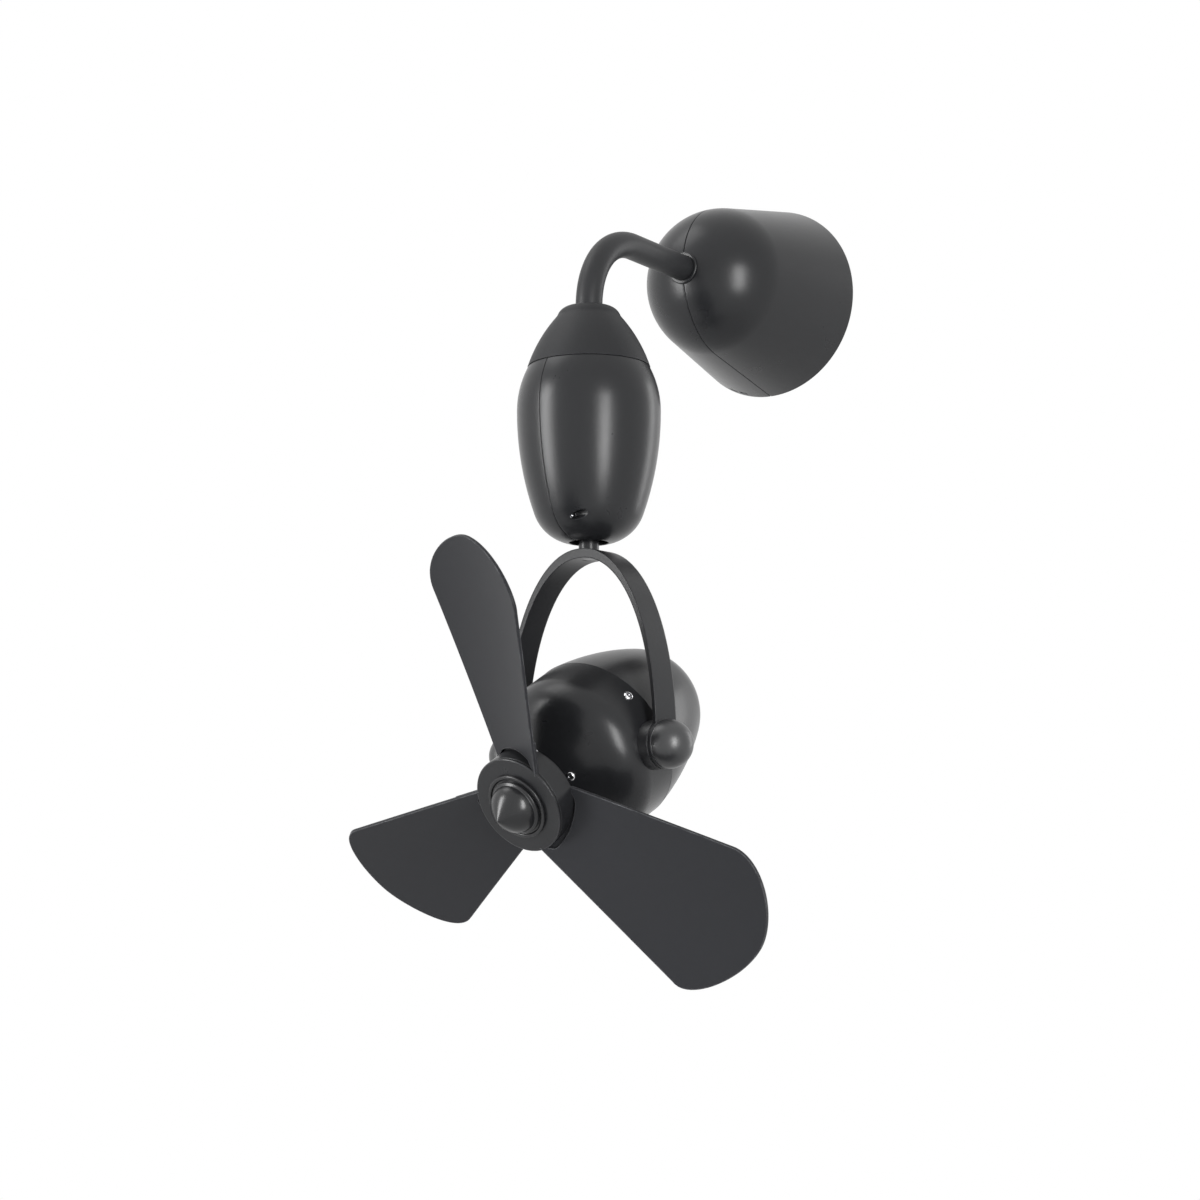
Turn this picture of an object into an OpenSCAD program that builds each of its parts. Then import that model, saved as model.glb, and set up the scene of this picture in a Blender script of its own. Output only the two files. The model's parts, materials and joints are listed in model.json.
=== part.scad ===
// Wall and ceiling fan: a bent wall arm carries a swinging gearbox, and a tilting three-blade head
// hangs under it in an arched yoke. The origin is the centre of the wall plate's back. +Z is up and
// the fan reaches out along -Y.

/* [Placing] */
// Distance from the wall to the gearbox's upright axis
reach = 270; // [240:1:300]
// Turn of the gearbox and the head about the upright axis at rest
aim = -8.6; // [-40:0.1:40]
// Nose-down tilt of the head at rest
tilt = 30.7; // [0:0.1:45]

/* [Canopy on the wall] */
// Radius of the canopy's rim on the wall
canopy_r = 78; // [74:0.5:84]
// Depth from the wall to the canopy's nose
canopy_depth = 137.5; // [130:0.5:145]
// Radius of the canopy's round nose
canopy_nose_r = 61; // [57:0.5:64]
// Wall thickness of the canopy
canopy_wall = 2.5; // [2:0.1:3.5]
// Thickness of the wall plate
plate_t = 2.5; // [2:0.1:4]
// Diameter of the circle of wall screw holes
plate_pcd = 100; // [90:1:110]
// Diameter of a wall screw hole
plate_hole_d = 5.5; // [4:0.1:7]
// Length of the socket that holds the arm tube
socket_len = 40; // [34:1:55]
// Radius of the socket's outside
socket_r = 14; // [13:0.1:16]

/* [Arm tube] */
// Outer radius of the arm tube
tube_r = 10; // [9.5:0.1:10.5]
// Wall thickness of the arm tube
tube_wall = 1.8; // [1.2:0.1:2.5]
// Radius of the bend along the tube's centre line
bend_r = 59.4; // [50:0.2:64]

/* [Gearbox] */
// Height of the gearbox cap
cap_h = 46; // [42:0.5:52]
// Height of the casing below the cap
casing_h = 132; // [130:0.5:140]
// Largest radius of the casing
casing_r = 53.2; // [52:0.1:56]
// Drop from the cap to the casing's widest place
belly_drop = 33; // [28:0.5:38]
// Wall thickness of the cap and the casing
casing_wall = 2.5; // [2:0.1:3]
// Radius of the opening under the casing
mouth_r = 14.5; // [13:0.1:17]
// Module of the gear teeth
gear_module = 1.5; // [1.4:0.05:1.5]
// Teeth of the large gear on the swing shaft
gear_teeth = 36; // [33:3:36]
// Teeth of the pinion
pinion_teeth = 12; // [12:1:13]
// Width of the gear teeth
gear_w = 8; // [6:0.5:9]
// Radius of the swing shaft below the gear
shaft_r = 7.5; // [7:0.1:8]
// Radius of the swing shaft in the gear and the upper bearing
shaft_top_r = 6; // [5.5:0.1:6.5]
// Length of the swing shaft that shows between the casing and the yoke
shaft_show = 4.9; // [3:0.1:12]

/* [Yoke and pivots] */
// Length of a pivot spacer that shows between the motor and the yoke
spacer_show = 7.2; // [4:0.1:12]
// Rise of the yoke's crown above the pivots
yoke_rise = 147; // [142:0.5:160]
// Thickness of the yoke's strap at its ends
yoke_t = 3; // [2.5:0.1:4]
// Thickness of the yoke's strap at its crown
yoke_crown = 7; // [4:0.5:9]
// Width of the yoke's strap
yoke_w = 22; // [18:0.5:26]
// Radius of the yoke's round ends
eye_r = 17.5; // [15:0.1:17.6]
// Radius of the pivot bolts
bolt_r = 4; // [3.5:0.1:5]
// Radius of the pivot spacers and caps
knob_r = 17.7; // [17.2:0.1:18.5]
// Thickness of a friction washer
washer_t = 0.8; // [0.5:0.1:1]

/* [Motor head] */
// Radius of the motor's front shell
motor_r = 63.5; // [62:0.1:64.5]
// Wall thickness of the motor shells
motor_wall = 2.5; // [2:0.1:3]
// Radius of the stator core
stator_r = 44; // [42:0.1:45]
// Length of the stator core
stator_len = 30; // [26:1:31]
// Radius of the motor shaft
axle_r = 5; // [4.5:0.1:5.5]
// Gap between the rotor and the stator
air_gap = 0.7; // [0.4:0.1:1]

/* [Hub and blades] */
// Radius of the hub
hub_r = 36.5; // [35:0.1:38]
// Depth of the hub from its back to its front face
hub_depth = 21; // [20:0.1:22]
// Radius of the circle that the blade tips sweep
sweep_r = 200; // [190:1:206]
// Number of blades
blade_count = 3; // [3:1:3]
// Thickness of a blade
blade_t = 2.5; // [1.8:0.1:2.6]
// Pitch of a blade
blade_pitch = 19.4; // [15:0.1:20]
// Turn of the first blade about the motor's axis at rest
blade_turn = 74; // [0:0.5:119]
// Radius of a blade's curve across its width
blade_curve = 480; // [300:10:1200]

/* [Hidden] */

$fn = 96;
CHARCOAL = "#3d3e40";
STEEL = "#b9bcc0";
CAST = "#8c8f93";
COPPER = "#b4693a";
BLACK = "#1c1c1e";

// Clearances: pressed or clamped, running, loose, and the seam between two covers
seat_gap = 0.02;
run_gap = 0.05;
loose_gap = 0.3;
seam = 0.3;
far = 300;

// Screws: radius of the thread and of the head, height of the head
m3 = [1.5, 2.8, 1.8];
m4 = [2, 3.5, 2.4];

// Heights in the gearbox, measured from the arm's centre line
cap_top = -(bend_r + 0.6);
cap_base = cap_top - cap_h;
casing_base = cap_base - casing_h;
belly_z = cap_base - belly_drop;
yoke_top = casing_base - shaft_show;
pivot_z = yoke_top - yoke_rise;

// Casing arcs: shoulder above the belly, long flank below it, and the bottom corner
shoulder_arc = 70;
flank_arc = 234;
corner_arc = 32.6;
neck_h = 4;
cap_neck_h = 10;
cap_sag = 2.2;
cap_rim_r = casing_r - shoulder_arc + sqrt(pow(shoulder_arc, 2) - pow(belly_drop, 2)) + 0.6;

// Gear frame: flange on the tube, three plates and their posts
flange_r = 24;
flange_t = 3;
frame_t = 4;
frame_top = cap_top - 30;
mid_top = cap_base - 26;
mid_low = mid_top - frame_t;
floor_top = cap_base - 90;
floor_low = floor_top - frame_t;
floor_r = 38;
post_r = 3.5;
post_pcr = 33.5;
motor_side = 90;
top_bearing = [shaft_top_r, 14, 8];
low_bearing = [shaft_r, 16, 9];
lip_t = 2;
boss_wall = 3.5;
bearing_low = mid_top - lip_t - top_bearing[2];
gear_z = bearing_low - 3;
gear_r = gear_module*gear_teeth/2;
pinion_r = gear_module*pinion_teeth/2;
gear_gap = gear_r + pinion_r;
gear_hub_r = 9;
gear_hub_h = 5;
collar_t = 2;
clip_t = 1.2;
swing_motor_r = 17.5;
swing_motor_h = 15;
swing_motor_off = 8;
swing_ear = 22;
casing_screw_y = 31;
casing_screw_z = casing_base + 15.6;
casing_screw_x = 10;
casing_screw_l = 21;

// Wall side
plate_edge = canopy_r - canopy_wall - loose_gap - 0.4;
plate_boss_t = 5;
arm_bolt_y = 25;
m6 = [3, 5, 4];
collar_r = 12.8;
canopy_hole_r = tube_r + 2;
canopy_screw_y = 30;
canopy_screw_z = 52;
canopy_screw_x = -14;
canopy_screw_l = 25;
canopy_boss_r = 5.5;
slot_turns = [17, 24.7];
slot_l = 7;
slot_w = 2.6;
slot_y = 6;
entry_r = 7;
entry_z = socket_r + 19;
block = [34, 14, 14];
block_z = plate_edge - 28.8;

// Pivots, measured along the pivot axis from the middle of the head
spacer_end = motor_r + spacer_show;
eye_in = spacer_end + washer_t;
yoke_half = eye_in + yoke_t;
yoke_full = 2.12;
head_seat = yoke_half + washer_t;
lug_out = motor_r - 6;
stem_r = 9;
bolt_head = [8, 5];
cap_seat = head_seat + 0.1;

// Motor, measured along its axis from the pivot axis
shell_seam = -14;
shoulder_s = 12;
shoulder_rho = 28;
face_tilt = 25;
boss_front_r = 15;
boss_front_s = 60;
rear_arc = 235;
rear_top_s = 20;
rear_nose_r = 48.6;
bracket_t = 4;
front_bracket = 26;
rear_bracket = -34;
stator_s = -16;
stator_bore = 23.5;
slots = 12;
slot_in = 26;
slot_out = 34.5;
motor_bearing = [axle_r, 13, 8];
bearing_shell = 3;
stator_bolt_pcr = 39;
front_screw_pcr = 22.5;
front_screw_turn = 7;
lug_w = 18;

// Hub, measured along the motor's axis from the pivot axis
hub_back = 65;
hub_front = hub_back + hub_depth;
hub_wall = 3;
hub_web = 3;
hub_boss_r = 11;
front_plate_t = 2.5;
blade_s = 80;
tab_c = [-5, 17];
tab_in = 16;
notch_at = [9.8, 1.1];
notch_r = 31.3;
root_gap = 0.3;
blade_screw_r = [20.5, 27.5];
blade_screw_c = 9;
ring_r = 24.4;
ring_h = 2.5;
nose_r = 20;
nose_h = 22.9;
axle_rear = -48;
axle_front = hub_front + ring_h + 9;

// Points on an arc about [x, y] of radius r, from angle a to angle b
function arc(x, y, r, a, b, n = 16) =
    [for (i = [0:n]) let (t = a + (b - a)*i/n) [x + r*cos(t), y + r*sin(t)]];

// Points on a cubic curve with end points p and s and handles q and r
function curve(p, q, r, s, n = 14) =
    [for (i = [0:n]) let (t = i/n, u = 1 - t) u*u*u*p + 3*u*u*t*q + 3*u*t*t*r + t*t*t*s];

// Points on the bowed line from p to q; a positive sag bows it to the left of the way
function bowed(p, q, sag, n = 10) =
    let (side = [p[1] - q[1], q[0] - p[0]]/norm(q - p))
    [for (i = [0:n]) let (t = i/n) p + (q - p)*t + side*sag*4*t*(1 - t)];

function turned(line) = [for (i = [len(line) - 1:-1:0]) line[i]];

// Frames: out from the wall, about the gearbox's axis, and along the motor's axis
module from_wall() {
    rotate([90, 0, 0]) children();
}

module at_gearbox() {
    translate([0, -reach, 0]) rotate([0, 0, aim]) children();
}

module at_motor() {
    at_gearbox() translate([0, 0, pivot_z]) rotate([tilt + 90, 0, 0]) children();
}

// The pivot axis on either side of the head: x becomes up, z points outwards
module at_pivots() {
    for (side = [0, 180]) at_motor() rotate([0, 0, side]) rotate([0, 90, 0]) children();
}

module ring(r_in, r_out, h) {
    difference() {
        cylinder(r = r_out, h = h);
        translate([0, 0, -1]) cylinder(r = r_in, h = h + 2);
    }
}

// A pan-head screw: the head stands on z = 0 and the thread runs down to -l
module screw(size, l) {
    difference() {
        union() {
            translate([0, 0, -l]) cylinder(r = size[0], h = l + 0.1, $fn = 32);
            rotate_extrude($fn = 48) polygon(concat([[0, 0]], arc(0, 0, size[1], 0, 0, 1),
                arc(size[1] - size[2]*0.7, size[2]*0.3, size[2]*0.7, 0, 90, 5), [[0, size[2]]]));
        }
        cross_recess(size);
    }
}

module cross_recess(size) {
    for (a = [0, 90]) rotate([0, 0, a]) translate([0, 0, size[2]])
        cube([size[1]*1.1, size[1]*0.22, size[2]*1.1], center = true);
}

module hex_nut(r, h, bore) {
    difference() {
        cylinder(r = r, h = h, $fn = 6);
        translate([0, 0, -1]) cylinder(r = bore, h = h + 2, $fn = 32);
    }
}

// Canopy: a cone that runs smoothly into a ball at the nose, as radius against depth
nose_centre = canopy_depth - canopy_nose_r;
cone_tilt = 90 - atan2(nose_centre, canopy_r) - asin(canopy_nose_r/norm([canopy_r, nose_centre]));

function canopy_line(w) = let (r = canopy_nose_r - w, a0 = cone_tilt)
    concat([[canopy_r - w/cos(a0), 0], [canopy_r - w/cos(a0) - 20*tan(a0), 20]],
        arc(0, nose_centre, r, a0, 90 - asin(canopy_hole_r/r), 28));

module canopy_shell() {
    from_wall() rotate_extrude()
        polygon(concat(canopy_line(0), turned(canopy_line(canopy_wall))));
}

// Depth of the canopy's skin below its outside, at a given height, for bosses along x
module canopy_inside() {
    from_wall() rotate_extrude()
        polygon(concat([[0, 0]], canopy_line(canopy_wall/2), [[0, canopy_depth - canopy_wall]]));
}

module canopy_bosses(side) {
    for (z = [-canopy_screw_z, canopy_screw_z])
        translate([side*seam/2, -canopy_screw_y, z]) rotate([0, side*90, 0])
            cylinder(r = canopy_boss_r, h = far, $fn = 48);
}

module canopy_half(side) {
    keep = side > 0 ? seam/2 : -far - seam/2;
    intersection() {
        union() {
            canopy_shell();
            intersection() {
                canopy_bosses(side);
                canopy_inside();
            }
        }
        translate([keep, -far, -far]) cube([far, 2*far, 2*far]);
    }
}

module canopy_slots() {
    for (t = slot_turns) rotate([0, t, 0])
        translate([-slot_l/2, -slot_y - slot_w/2, -canopy_r - 5]) cube([slot_l, slot_w, 12]);
}

module canopy_left() {
    color(CHARCOAL) difference() {
        canopy_half(-1);
        canopy_slots();
        for (z = [-canopy_screw_z, canopy_screw_z]) translate([0, -canopy_screw_y, z]) {
            translate([-far, 0, 0]) rotate([0, 90, 0])
                cylinder(r = m4[1] + loose_gap, h = far + canopy_screw_x, $fn = 48);
            rotate([0, -90, 0]) cylinder(r = m4[0] + 0.1, h = -canopy_screw_x + 1, $fn = 32);
        }
    }
}

module canopy_right() {
    color(CHARCOAL) difference() {
        canopy_half(1);
        for (z = [-canopy_screw_z, canopy_screw_z]) translate([-1, -canopy_screw_y, z])
            rotate([0, 90, 0]) cylinder(r = m4[0] + seat_gap,
                h = canopy_screw_l + canopy_screw_x + 3, $fn = 32);
    }
}

module canopy_screws() {
    color(STEEL) for (z = [-canopy_screw_z, canopy_screw_z])
        translate([canopy_screw_x, -canopy_screw_y, z]) rotate([0, -90, 0])
            screw(m4, canopy_screw_l);
}

module tube_collar() {
    lip = 1.6;
    color(CHARCOAL) from_wall() translate([0, 0, canopy_depth - 6]) rotate_extrude()
        polygon([[tube_r + seat_gap, 0], [canopy_hole_r - 0.1, 0], [canopy_hole_r - 0.1, 5],
            [collar_r, 5.2], [collar_r, 5.2 + lip*0.6], [collar_r - 0.8, 5.2 + lip],
            [tube_r + seat_gap, 5.2 + lip]]);
}

module wall_plate() {
    tab_h = 9;
    color(STEEL) difference() {
        union() {
            from_wall() cylinder(r = plate_edge, h = plate_t);
            from_wall() cylinder(r = socket_r + 5, h = plate_boss_t);
            from_wall() cylinder(r = socket_r, h = socket_len);
            for (t = slot_turns) rotate([0, t, 0]) translate([-slot_l/2 + 0.6, -tab_h, -plate_edge + 1.5])
                cube([slot_l - 1.2, tab_h, 1.6]);
            for (t = slot_turns) rotate([0, t, 0])
                translate([-slot_l/2 + 0.6, -slot_y - 0.8, -plate_edge - 0.6])
                    cube([slot_l - 1.2, 1.6, 3]);
        }
        translate([0, 1, 0]) from_wall() cylinder(r = tube_r + seat_gap, h = socket_len + 2);
        translate([0, 1, 0]) from_wall() for (a = [45:90:315]) rotate([0, 0, a])
            translate([plate_pcd/2, 0, 0]) cylinder(r = plate_hole_d/2, h = plate_t + 2, $fn = 48);
        translate([-far/2, -arm_bolt_y, 0]) rotate([0, 90, 0])
            cylinder(r = m6[0] + seat_gap, h = far, $fn = 48);
        // Cable entry above the socket
        translate([0, 1, entry_z]) from_wall() cylinder(r = entry_r, h = plate_t + 2, $fn = 48);
    }
}

// Terminal block: three ways, each with a wire hole from below and a screw from the front
module terminal_block() {
    way = 11;
    color("white") difference() {
        translate([-block[0]/2, -plate_t - block[1], block_z]) cube(block);
        for (x = [-way, 0, way]) {
            translate([x, -plate_t - block[1] - 1, block_z + block[2]/2]) rotate([-90, 0, 0])
                cylinder(r = 2.6, h = block[1]/2, $fn = 32);
            translate([x, -plate_t - 6, block_z - 1]) cylinder(r = 1.8, h = block[2] + 2, $fn = 32);
        }
    }
}

module arm_bolt() {
    l = 2*socket_r + 6;
    color(STEEL) translate([0, -arm_bolt_y, 0]) rotate([0, 90, 0]) {
        translate([0, 0, socket_r]) cylinder(r = m6[1], h = m6[2], $fn = 6);
        translate([0, 0, socket_r - l]) cylinder(r = m6[0], h = l + 0.1, $fn = 48);
        translate([0, 0, -socket_r - 5]) hex_nut(m6[1], 5, m6[0] + seat_gap);
    }
}

// Arm: straight out of the socket, round the bend and down to the welded flange
module tube_path(r) {
    flat = reach - bend_r;
    down = -frame_top - bend_r;
    from_wall() cylinder(r = r, h = flat);
    translate([0, -flat, -bend_r]) rotate([0, -90, 0]) rotate([0, 0, -90])
        rotate_extrude(angle = 90) translate([bend_r, 0]) circle(r = r);
    translate([0, -reach, frame_top]) cylinder(r = r, h = down);
}

module arm_tube() {
    color(CHARCOAL) difference() {
        union() {
            tube_path(tube_r);
            at_gearbox() translate([0, 0, frame_top]) cylinder(r = flange_r, h = flange_t);
        }
        tube_path(tube_r - tube_wall);
        translate([0, 0.5, 0]) from_wall() cylinder(r = tube_r - tube_wall, h = 5);
        translate([0, -reach, frame_top - 0.5]) cylinder(r = tube_r - tube_wall, h = 5);
        translate([-far/2, -arm_bolt_y, 0]) rotate([0, 90, 0])
            cylinder(r = m6[0] + seat_gap, h = far, $fn = 48);
        at_frame_screws() cylinder(r = m4[0] + seat_gap, h = 20, center = true, $fn = 32);
    }
}

// Cap: a rounded shoulder round the tube, then a flared cone down to the casing
shoulder_in = tube_r + 5;
function cap_line() = concat(
    [[tube_r + 1.6, cap_top]],
    curve([tube_r + 2.4, cap_top], [shoulder_in + 3, cap_top - 0.2],
        [shoulder_in + 6.6, cap_top - 2.4], [shoulder_in + 8.4, cap_top - 6.6], 8),
    bowed([shoulder_in + 8.9, cap_top - 7.8], [cap_rim_r, cap_base], cap_sag));

module gearbox_cap() {
    color(CHARCOAL) at_gearbox() difference() {
        rotate_extrude() polygon(concat([[tube_r + seat_gap, cap_top]], cap_line(),
            [[cap_rim_r - casing_wall, cap_base]],
            [[shoulder_in + 10 - casing_wall, cap_top - cap_neck_h - 4],
             [shoulder_in, cap_top - cap_neck_h], [tube_r + seat_gap, cap_top - cap_neck_h]]));
        rotate([0, 0, 90]) translate([0, 0, cap_top - 6]) rotate([0, 90, 0])
            cylinder(r = m4[0] + seat_gap, h = 40, $fn = 32);
    }
}

module cap_screw() {
    color(STEEL) at_gearbox() rotate([0, 0, 90]) translate([0, 0, cap_top - 6]) rotate([0, 90, 0])
        difference() {
            translate([0, 0, tube_r]) cylinder(r = m4[0], h = 9, $fn = 32);
            translate([0, 0, tube_r + 7]) cylinder(r = 1.1, h = 3, $fn = 6);
        }
}

// Casing outline: radius at a height, and the whole line from the cap down to the mouth
flank_turn = asin((belly_z - casing_base - corner_arc)/(flank_arc - corner_arc));
function casing_at(z) = z > belly_z
    ? casing_r - shoulder_arc + sqrt(pow(shoulder_arc, 2) - pow(z - belly_z, 2))
    : casing_r - flank_arc + sqrt(pow(flank_arc, 2) - pow(z - belly_z, 2));

function casing_line(w) =
    let (corner = [casing_r - flank_arc + (flank_arc - corner_arc)*cos(flank_turn),
            casing_base + corner_arc],
         end = -90 + asin((mouth_r - corner[0])/(corner_arc - w)))
    concat(
        arc(casing_r - shoulder_arc, belly_z, shoulder_arc - w, asin(belly_drop/shoulder_arc), 0, 10),
        arc(casing_r - flank_arc, belly_z, flank_arc - w, -flank_turn/10, -flank_turn, 12),
        arc(corner[0], corner[1], corner_arc - w, -flank_turn - 5, end, 14));

module casing_solid(w) {
    line = casing_line(w);
    rotate_extrude() polygon(concat([[0, cap_base]], line, [[0, line[len(line) - 1][1]]]));
}

module casing_shell() {
    outer = casing_line(0);
    inner = casing_line(casing_wall);
    neck_out = cap_rim_r - casing_wall - 3.6;
    neck_in = neck_out - casing_wall;
    rotate_extrude() polygon(concat([[outer[0][0], cap_base]], outer, turned(inner),
        [[neck_in, cap_base - casing_wall], [neck_in, cap_base + neck_h],
         [neck_out, cap_base + neck_h], [neck_out, cap_base]]));
}

// Two ribs inside the casing hold the gear frame's middle plate between them
module casing_ribs() {
    rib_t = 2;
    rib_w = 3.5;
    for (z = [mid_top + seat_gap, mid_low - seat_gap - rib_t])
        translate([0, 0, z]) ring(casing_at(mid_top) - casing_wall - rib_w,
            casing_at(mid_top) - casing_wall/2, rib_t);
}

module casing_boss(side) {
    intersection() {
        for (y = [-casing_screw_y, casing_screw_y])
            translate([side*seam/2, y, casing_screw_z]) rotate([0, side*90, 0])
                cylinder(r = m3[1] + loose_gap + 2.2, h = far, $fn = 48);
        casing_solid(casing_wall/2);
    }
}

module casing_half(side) {
    keep = side > 0 ? seam/2 : -far - seam/2;
    intersection() {
        union() {
            casing_shell();
            casing_ribs();
            casing_boss(side);
        }
        translate([keep, -far, -2*far]) cube([far, 2*far, 2*far]);
    }
}

module casing_left() {
    color(CHARCOAL) at_gearbox() difference() {
        casing_half(-1);
        for (y = [-casing_screw_y, casing_screw_y]) translate([1, y, casing_screw_z])
            rotate([0, -90, 0]) cylinder(r = m3[0] + seat_gap,
                h = casing_screw_l - casing_screw_x + 2, $fn = 32);
    }
}

module casing_right() {
    color(CHARCOAL) at_gearbox() difference() {
        casing_half(1);
        for (y = [-casing_screw_y, casing_screw_y]) translate([-1, y, casing_screw_z])
            rotate([0, 90, 0]) {
                cylinder(r = m3[0] + 0.1, h = far, $fn = 32);
                translate([0, 0, casing_screw_x + 1])
                    cylinder(r = m3[1] + loose_gap, h = far, $fn = 48);
            }
    }
}

module casing_screws() {
    color(STEEL) at_gearbox() for (y = [-casing_screw_y, casing_screw_y])
        translate([casing_screw_x, y, casing_screw_z]) rotate([0, 90, 0]) screw(m3, casing_screw_l);
}

// Gear frame: three plates on posts, with a bearing boss under the middle and the lowest
module at_frame_screws() {
    at_gearbox() for (a = [motor_side + 105, motor_side + 180, motor_side + 255])
        rotate([0, 0, a]) translate([19, 0, frame_top + flange_t]) children();
}

module posts(turns, pcr, r, z_low, z_high) {
    for (a = turns) rotate([0, 0, motor_side + a]) translate([pcr, 0, z_low - 0.5])
        cylinder(r = r, h = z_high - z_low + 1, $fn = 48);
}

module gear_frame() {
    mid_r = casing_at(mid_top) - casing_wall - loose_gap;
    color(CAST) difference() {
        at_gearbox() difference() {
            union() {
                translate([0, 0, frame_top - frame_t]) cylinder(r = 26, h = frame_t);
                posts([105, 180, 255], 19, 4.5, mid_top, frame_top - frame_t);
                translate([0, 0, mid_low]) cylinder(r = mid_r, h = frame_t);
                translate([0, 0, mid_low - top_bearing[2] + lip_t])
                    cylinder(r = top_bearing[1] + boss_wall, h = top_bearing[2]);
                posts([60, 180, -60], post_pcr, post_r, floor_top, mid_low);
                translate([0, 0, floor_low]) cylinder(r = floor_r, h = frame_t);
                translate([0, 0, floor_top - low_bearing[2] - 1])
                    cylinder(r = low_bearing[1] + boss_wall, h = low_bearing[2]);
            }
            translate([0, 0, mid_top - lip_t - far]) intersection() {
                cylinder(r = top_bearing[1] + seat_gap, h = far);
                translate([0, 0, far - top_bearing[2] - 1])
                    cylinder(r = far, h = top_bearing[2] + 1);
            }
            translate([0, 0, mid_low - 1]) cylinder(r = top_bearing[1] - 4, h = frame_t + 2);
            translate([0, 0, floor_top - low_bearing[2] - 2])
                cylinder(r = low_bearing[1] + seat_gap, h = low_bearing[2] + 1);
            translate([0, 0, floor_low - 1]) cylinder(r = low_bearing[1] - 4, h = frame_t + 2);
            rotate([0, 0, motor_side]) translate([gear_gap, 0, mid_low - 1])
                cylinder(r = 6, h = frame_t + 2, $fn = 48);
            translate([0, 0, frame_top - frame_t - 1]) cylinder(r = 8, h = frame_t + 2, $fn = 48);
            at_swing_ears() cylinder(r = m3[0] + seat_gap, h = 40, center = true, $fn = 32);
        }
        at_frame_screws() cylinder(r = m4[0] + seat_gap, h = 34, center = true, $fn = 32);
    }
}

module frame_screws() {
    color(STEEL) at_frame_screws() screw(m4, 14);
}

// Swing motor: a flat can beside the shaft, whose output lies off its middle
module at_swing_ears() {
    rotate([0, 0, motor_side]) translate([gear_gap - swing_motor_off, 0, mid_top])
        for (side = [-1, 1]) translate([0, side*swing_ear, 0]) children();
}

module swing_motor() {
    ear_t = 1.5;
    color(STEEL) at_gearbox() difference() {
        union() {
            rotate([0, 0, motor_side]) {
                translate([gear_gap - swing_motor_off, 0, mid_top])
                    cylinder(r = swing_motor_r, h = swing_motor_h);
                translate([gear_gap, 0, mid_low]) cylinder(r = 5.8, h = frame_t + 1, $fn = 48);
                translate([gear_gap - swing_motor_off - 3.5, -swing_ear, mid_top])
                    cube([7, 2*swing_ear, ear_t]);
            }
            at_swing_ears() cylinder(r = 3.5, h = ear_t, $fn = 48);
        }
        rotate([0, 0, motor_side]) translate([gear_gap, 0, mid_low - 1])
            cylinder(r = 2.5 + run_gap, h = 12, $fn = 32);
        at_swing_ears() cylinder(r = m3[0] + 0.1, h = 10, center = true, $fn = 32);
    }
}

module swing_motor_screws() {
    color(STEEL) at_gearbox() at_swing_ears() translate([0, 0, 1.5]) screw(m3, 5);
}

module bearing(size) {
    groove = 0.5;
    race = (size[1] - size[0])/3.4;
    difference() {
        ring(size[0] + seat_gap, size[1], size[2]);
        for (z = [-1, size[2] - groove]) translate([0, 0, z])
            ring(size[0] + race, size[1] - race, groove + 1);
    }
}

module shaft_bearings() {
    color(STEEL) at_gearbox() {
        translate([0, 0, mid_top - lip_t - top_bearing[2]]) bearing(top_bearing);
        translate([0, 0, floor_top - low_bearing[2] - 1]) bearing(low_bearing);
    }
}

// Gear teeth: involute flanks from the base circle, thinned a little for backlash
pressure = 25;
backlash = 0.08;

function involute(base, r) = let (t = sqrt(pow(r/base, 2) - 1)) t*180/PI - atan(t);

function tooth(z, r_low, n = 4) =
    let (pitch = gear_module*z/2, base = pitch*cos(pressure), tip = pitch + gear_module,
         half = 90/z - backlash/pitch*180/PI + involute(base, pitch), start = max(base, r_low))
    concat([[r_low, -half]],
        [for (i = [0:n]) let (r = start + (tip - start)*i/n) [r, -half + involute(base, r)]],
        [for (i = [n:-1:0]) let (r = start + (tip - start)*i/n) [r, half - involute(base, r)]],
        [[r_low, half]]);

module teeth(z, w) {
    pitch = gear_module*z/2;
    root = pitch - 1.25*gear_module;
    points = [for (i = [0:z - 1]) for (p = tooth(z, root)) let (a = p[1] + i*360/z)
        p[0]*[cos(a), sin(a)]];
    linear_extrude(w) polygon(points);
}

module drive_pinion() {
    color("ivory") at_gearbox() rotate([0, 0, motor_side]) translate([gear_gap, 0, 0])
        rotate([0, 0, 180 + 180/pinion_teeth]) {
            translate([0, 0, gear_z - gear_w]) teeth(pinion_teeth, gear_w);
            translate([0, 0, gear_z - 0.1]) cylinder(r = 5, h = 2, $fn = 48);
            translate([0, 0, gear_z - 0.1]) cylinder(r = 2.5, h = mid_top + 5 - gear_z, $fn = 32);
        }
}

module swing_gear() {
    color("ivory") at_gearbox() difference() {
        union() {
            rotate([0, 0, motor_side]) translate([0, 0, gear_z - gear_w])
                teeth(gear_teeth, gear_w);
            translate([0, 0, gear_z - gear_w - gear_hub_h])
                cylinder(r = gear_hub_r + 2, h = gear_hub_h + 0.5);
            translate([0, 0, gear_z - 0.5]) cylinder(r = gear_hub_r - 0.8, h = 3.4);
        }
        translate([0, 0, gear_z - 40]) cylinder(r = shaft_top_r + seat_gap, h = 60);
        // Six holes lighten the gear's web
        for (a = [30:60:330]) rotate([0, 0, a]) translate([18, 0, gear_z - gear_w - 1])
            cylinder(r = 4, h = gear_w + 2, $fn = 48);
        gear_pin_hole(seat_gap);
    }
}

module gear_pin_hole(gap) {
    l = 2*(gear_hub_r + 2);
    translate([-l/2 - (gap > 0 ? 1 : 0), 0, gear_z - gear_w - gear_hub_h/2]) rotate([0, 90, 0])
        cylinder(r = 1.5 + gap, h = l + (gap > 0 ? 2 : 0), $fn = 32);
}

module gear_pin() {
    color(STEEL) at_gearbox() gear_pin_hole(0);
}

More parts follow.
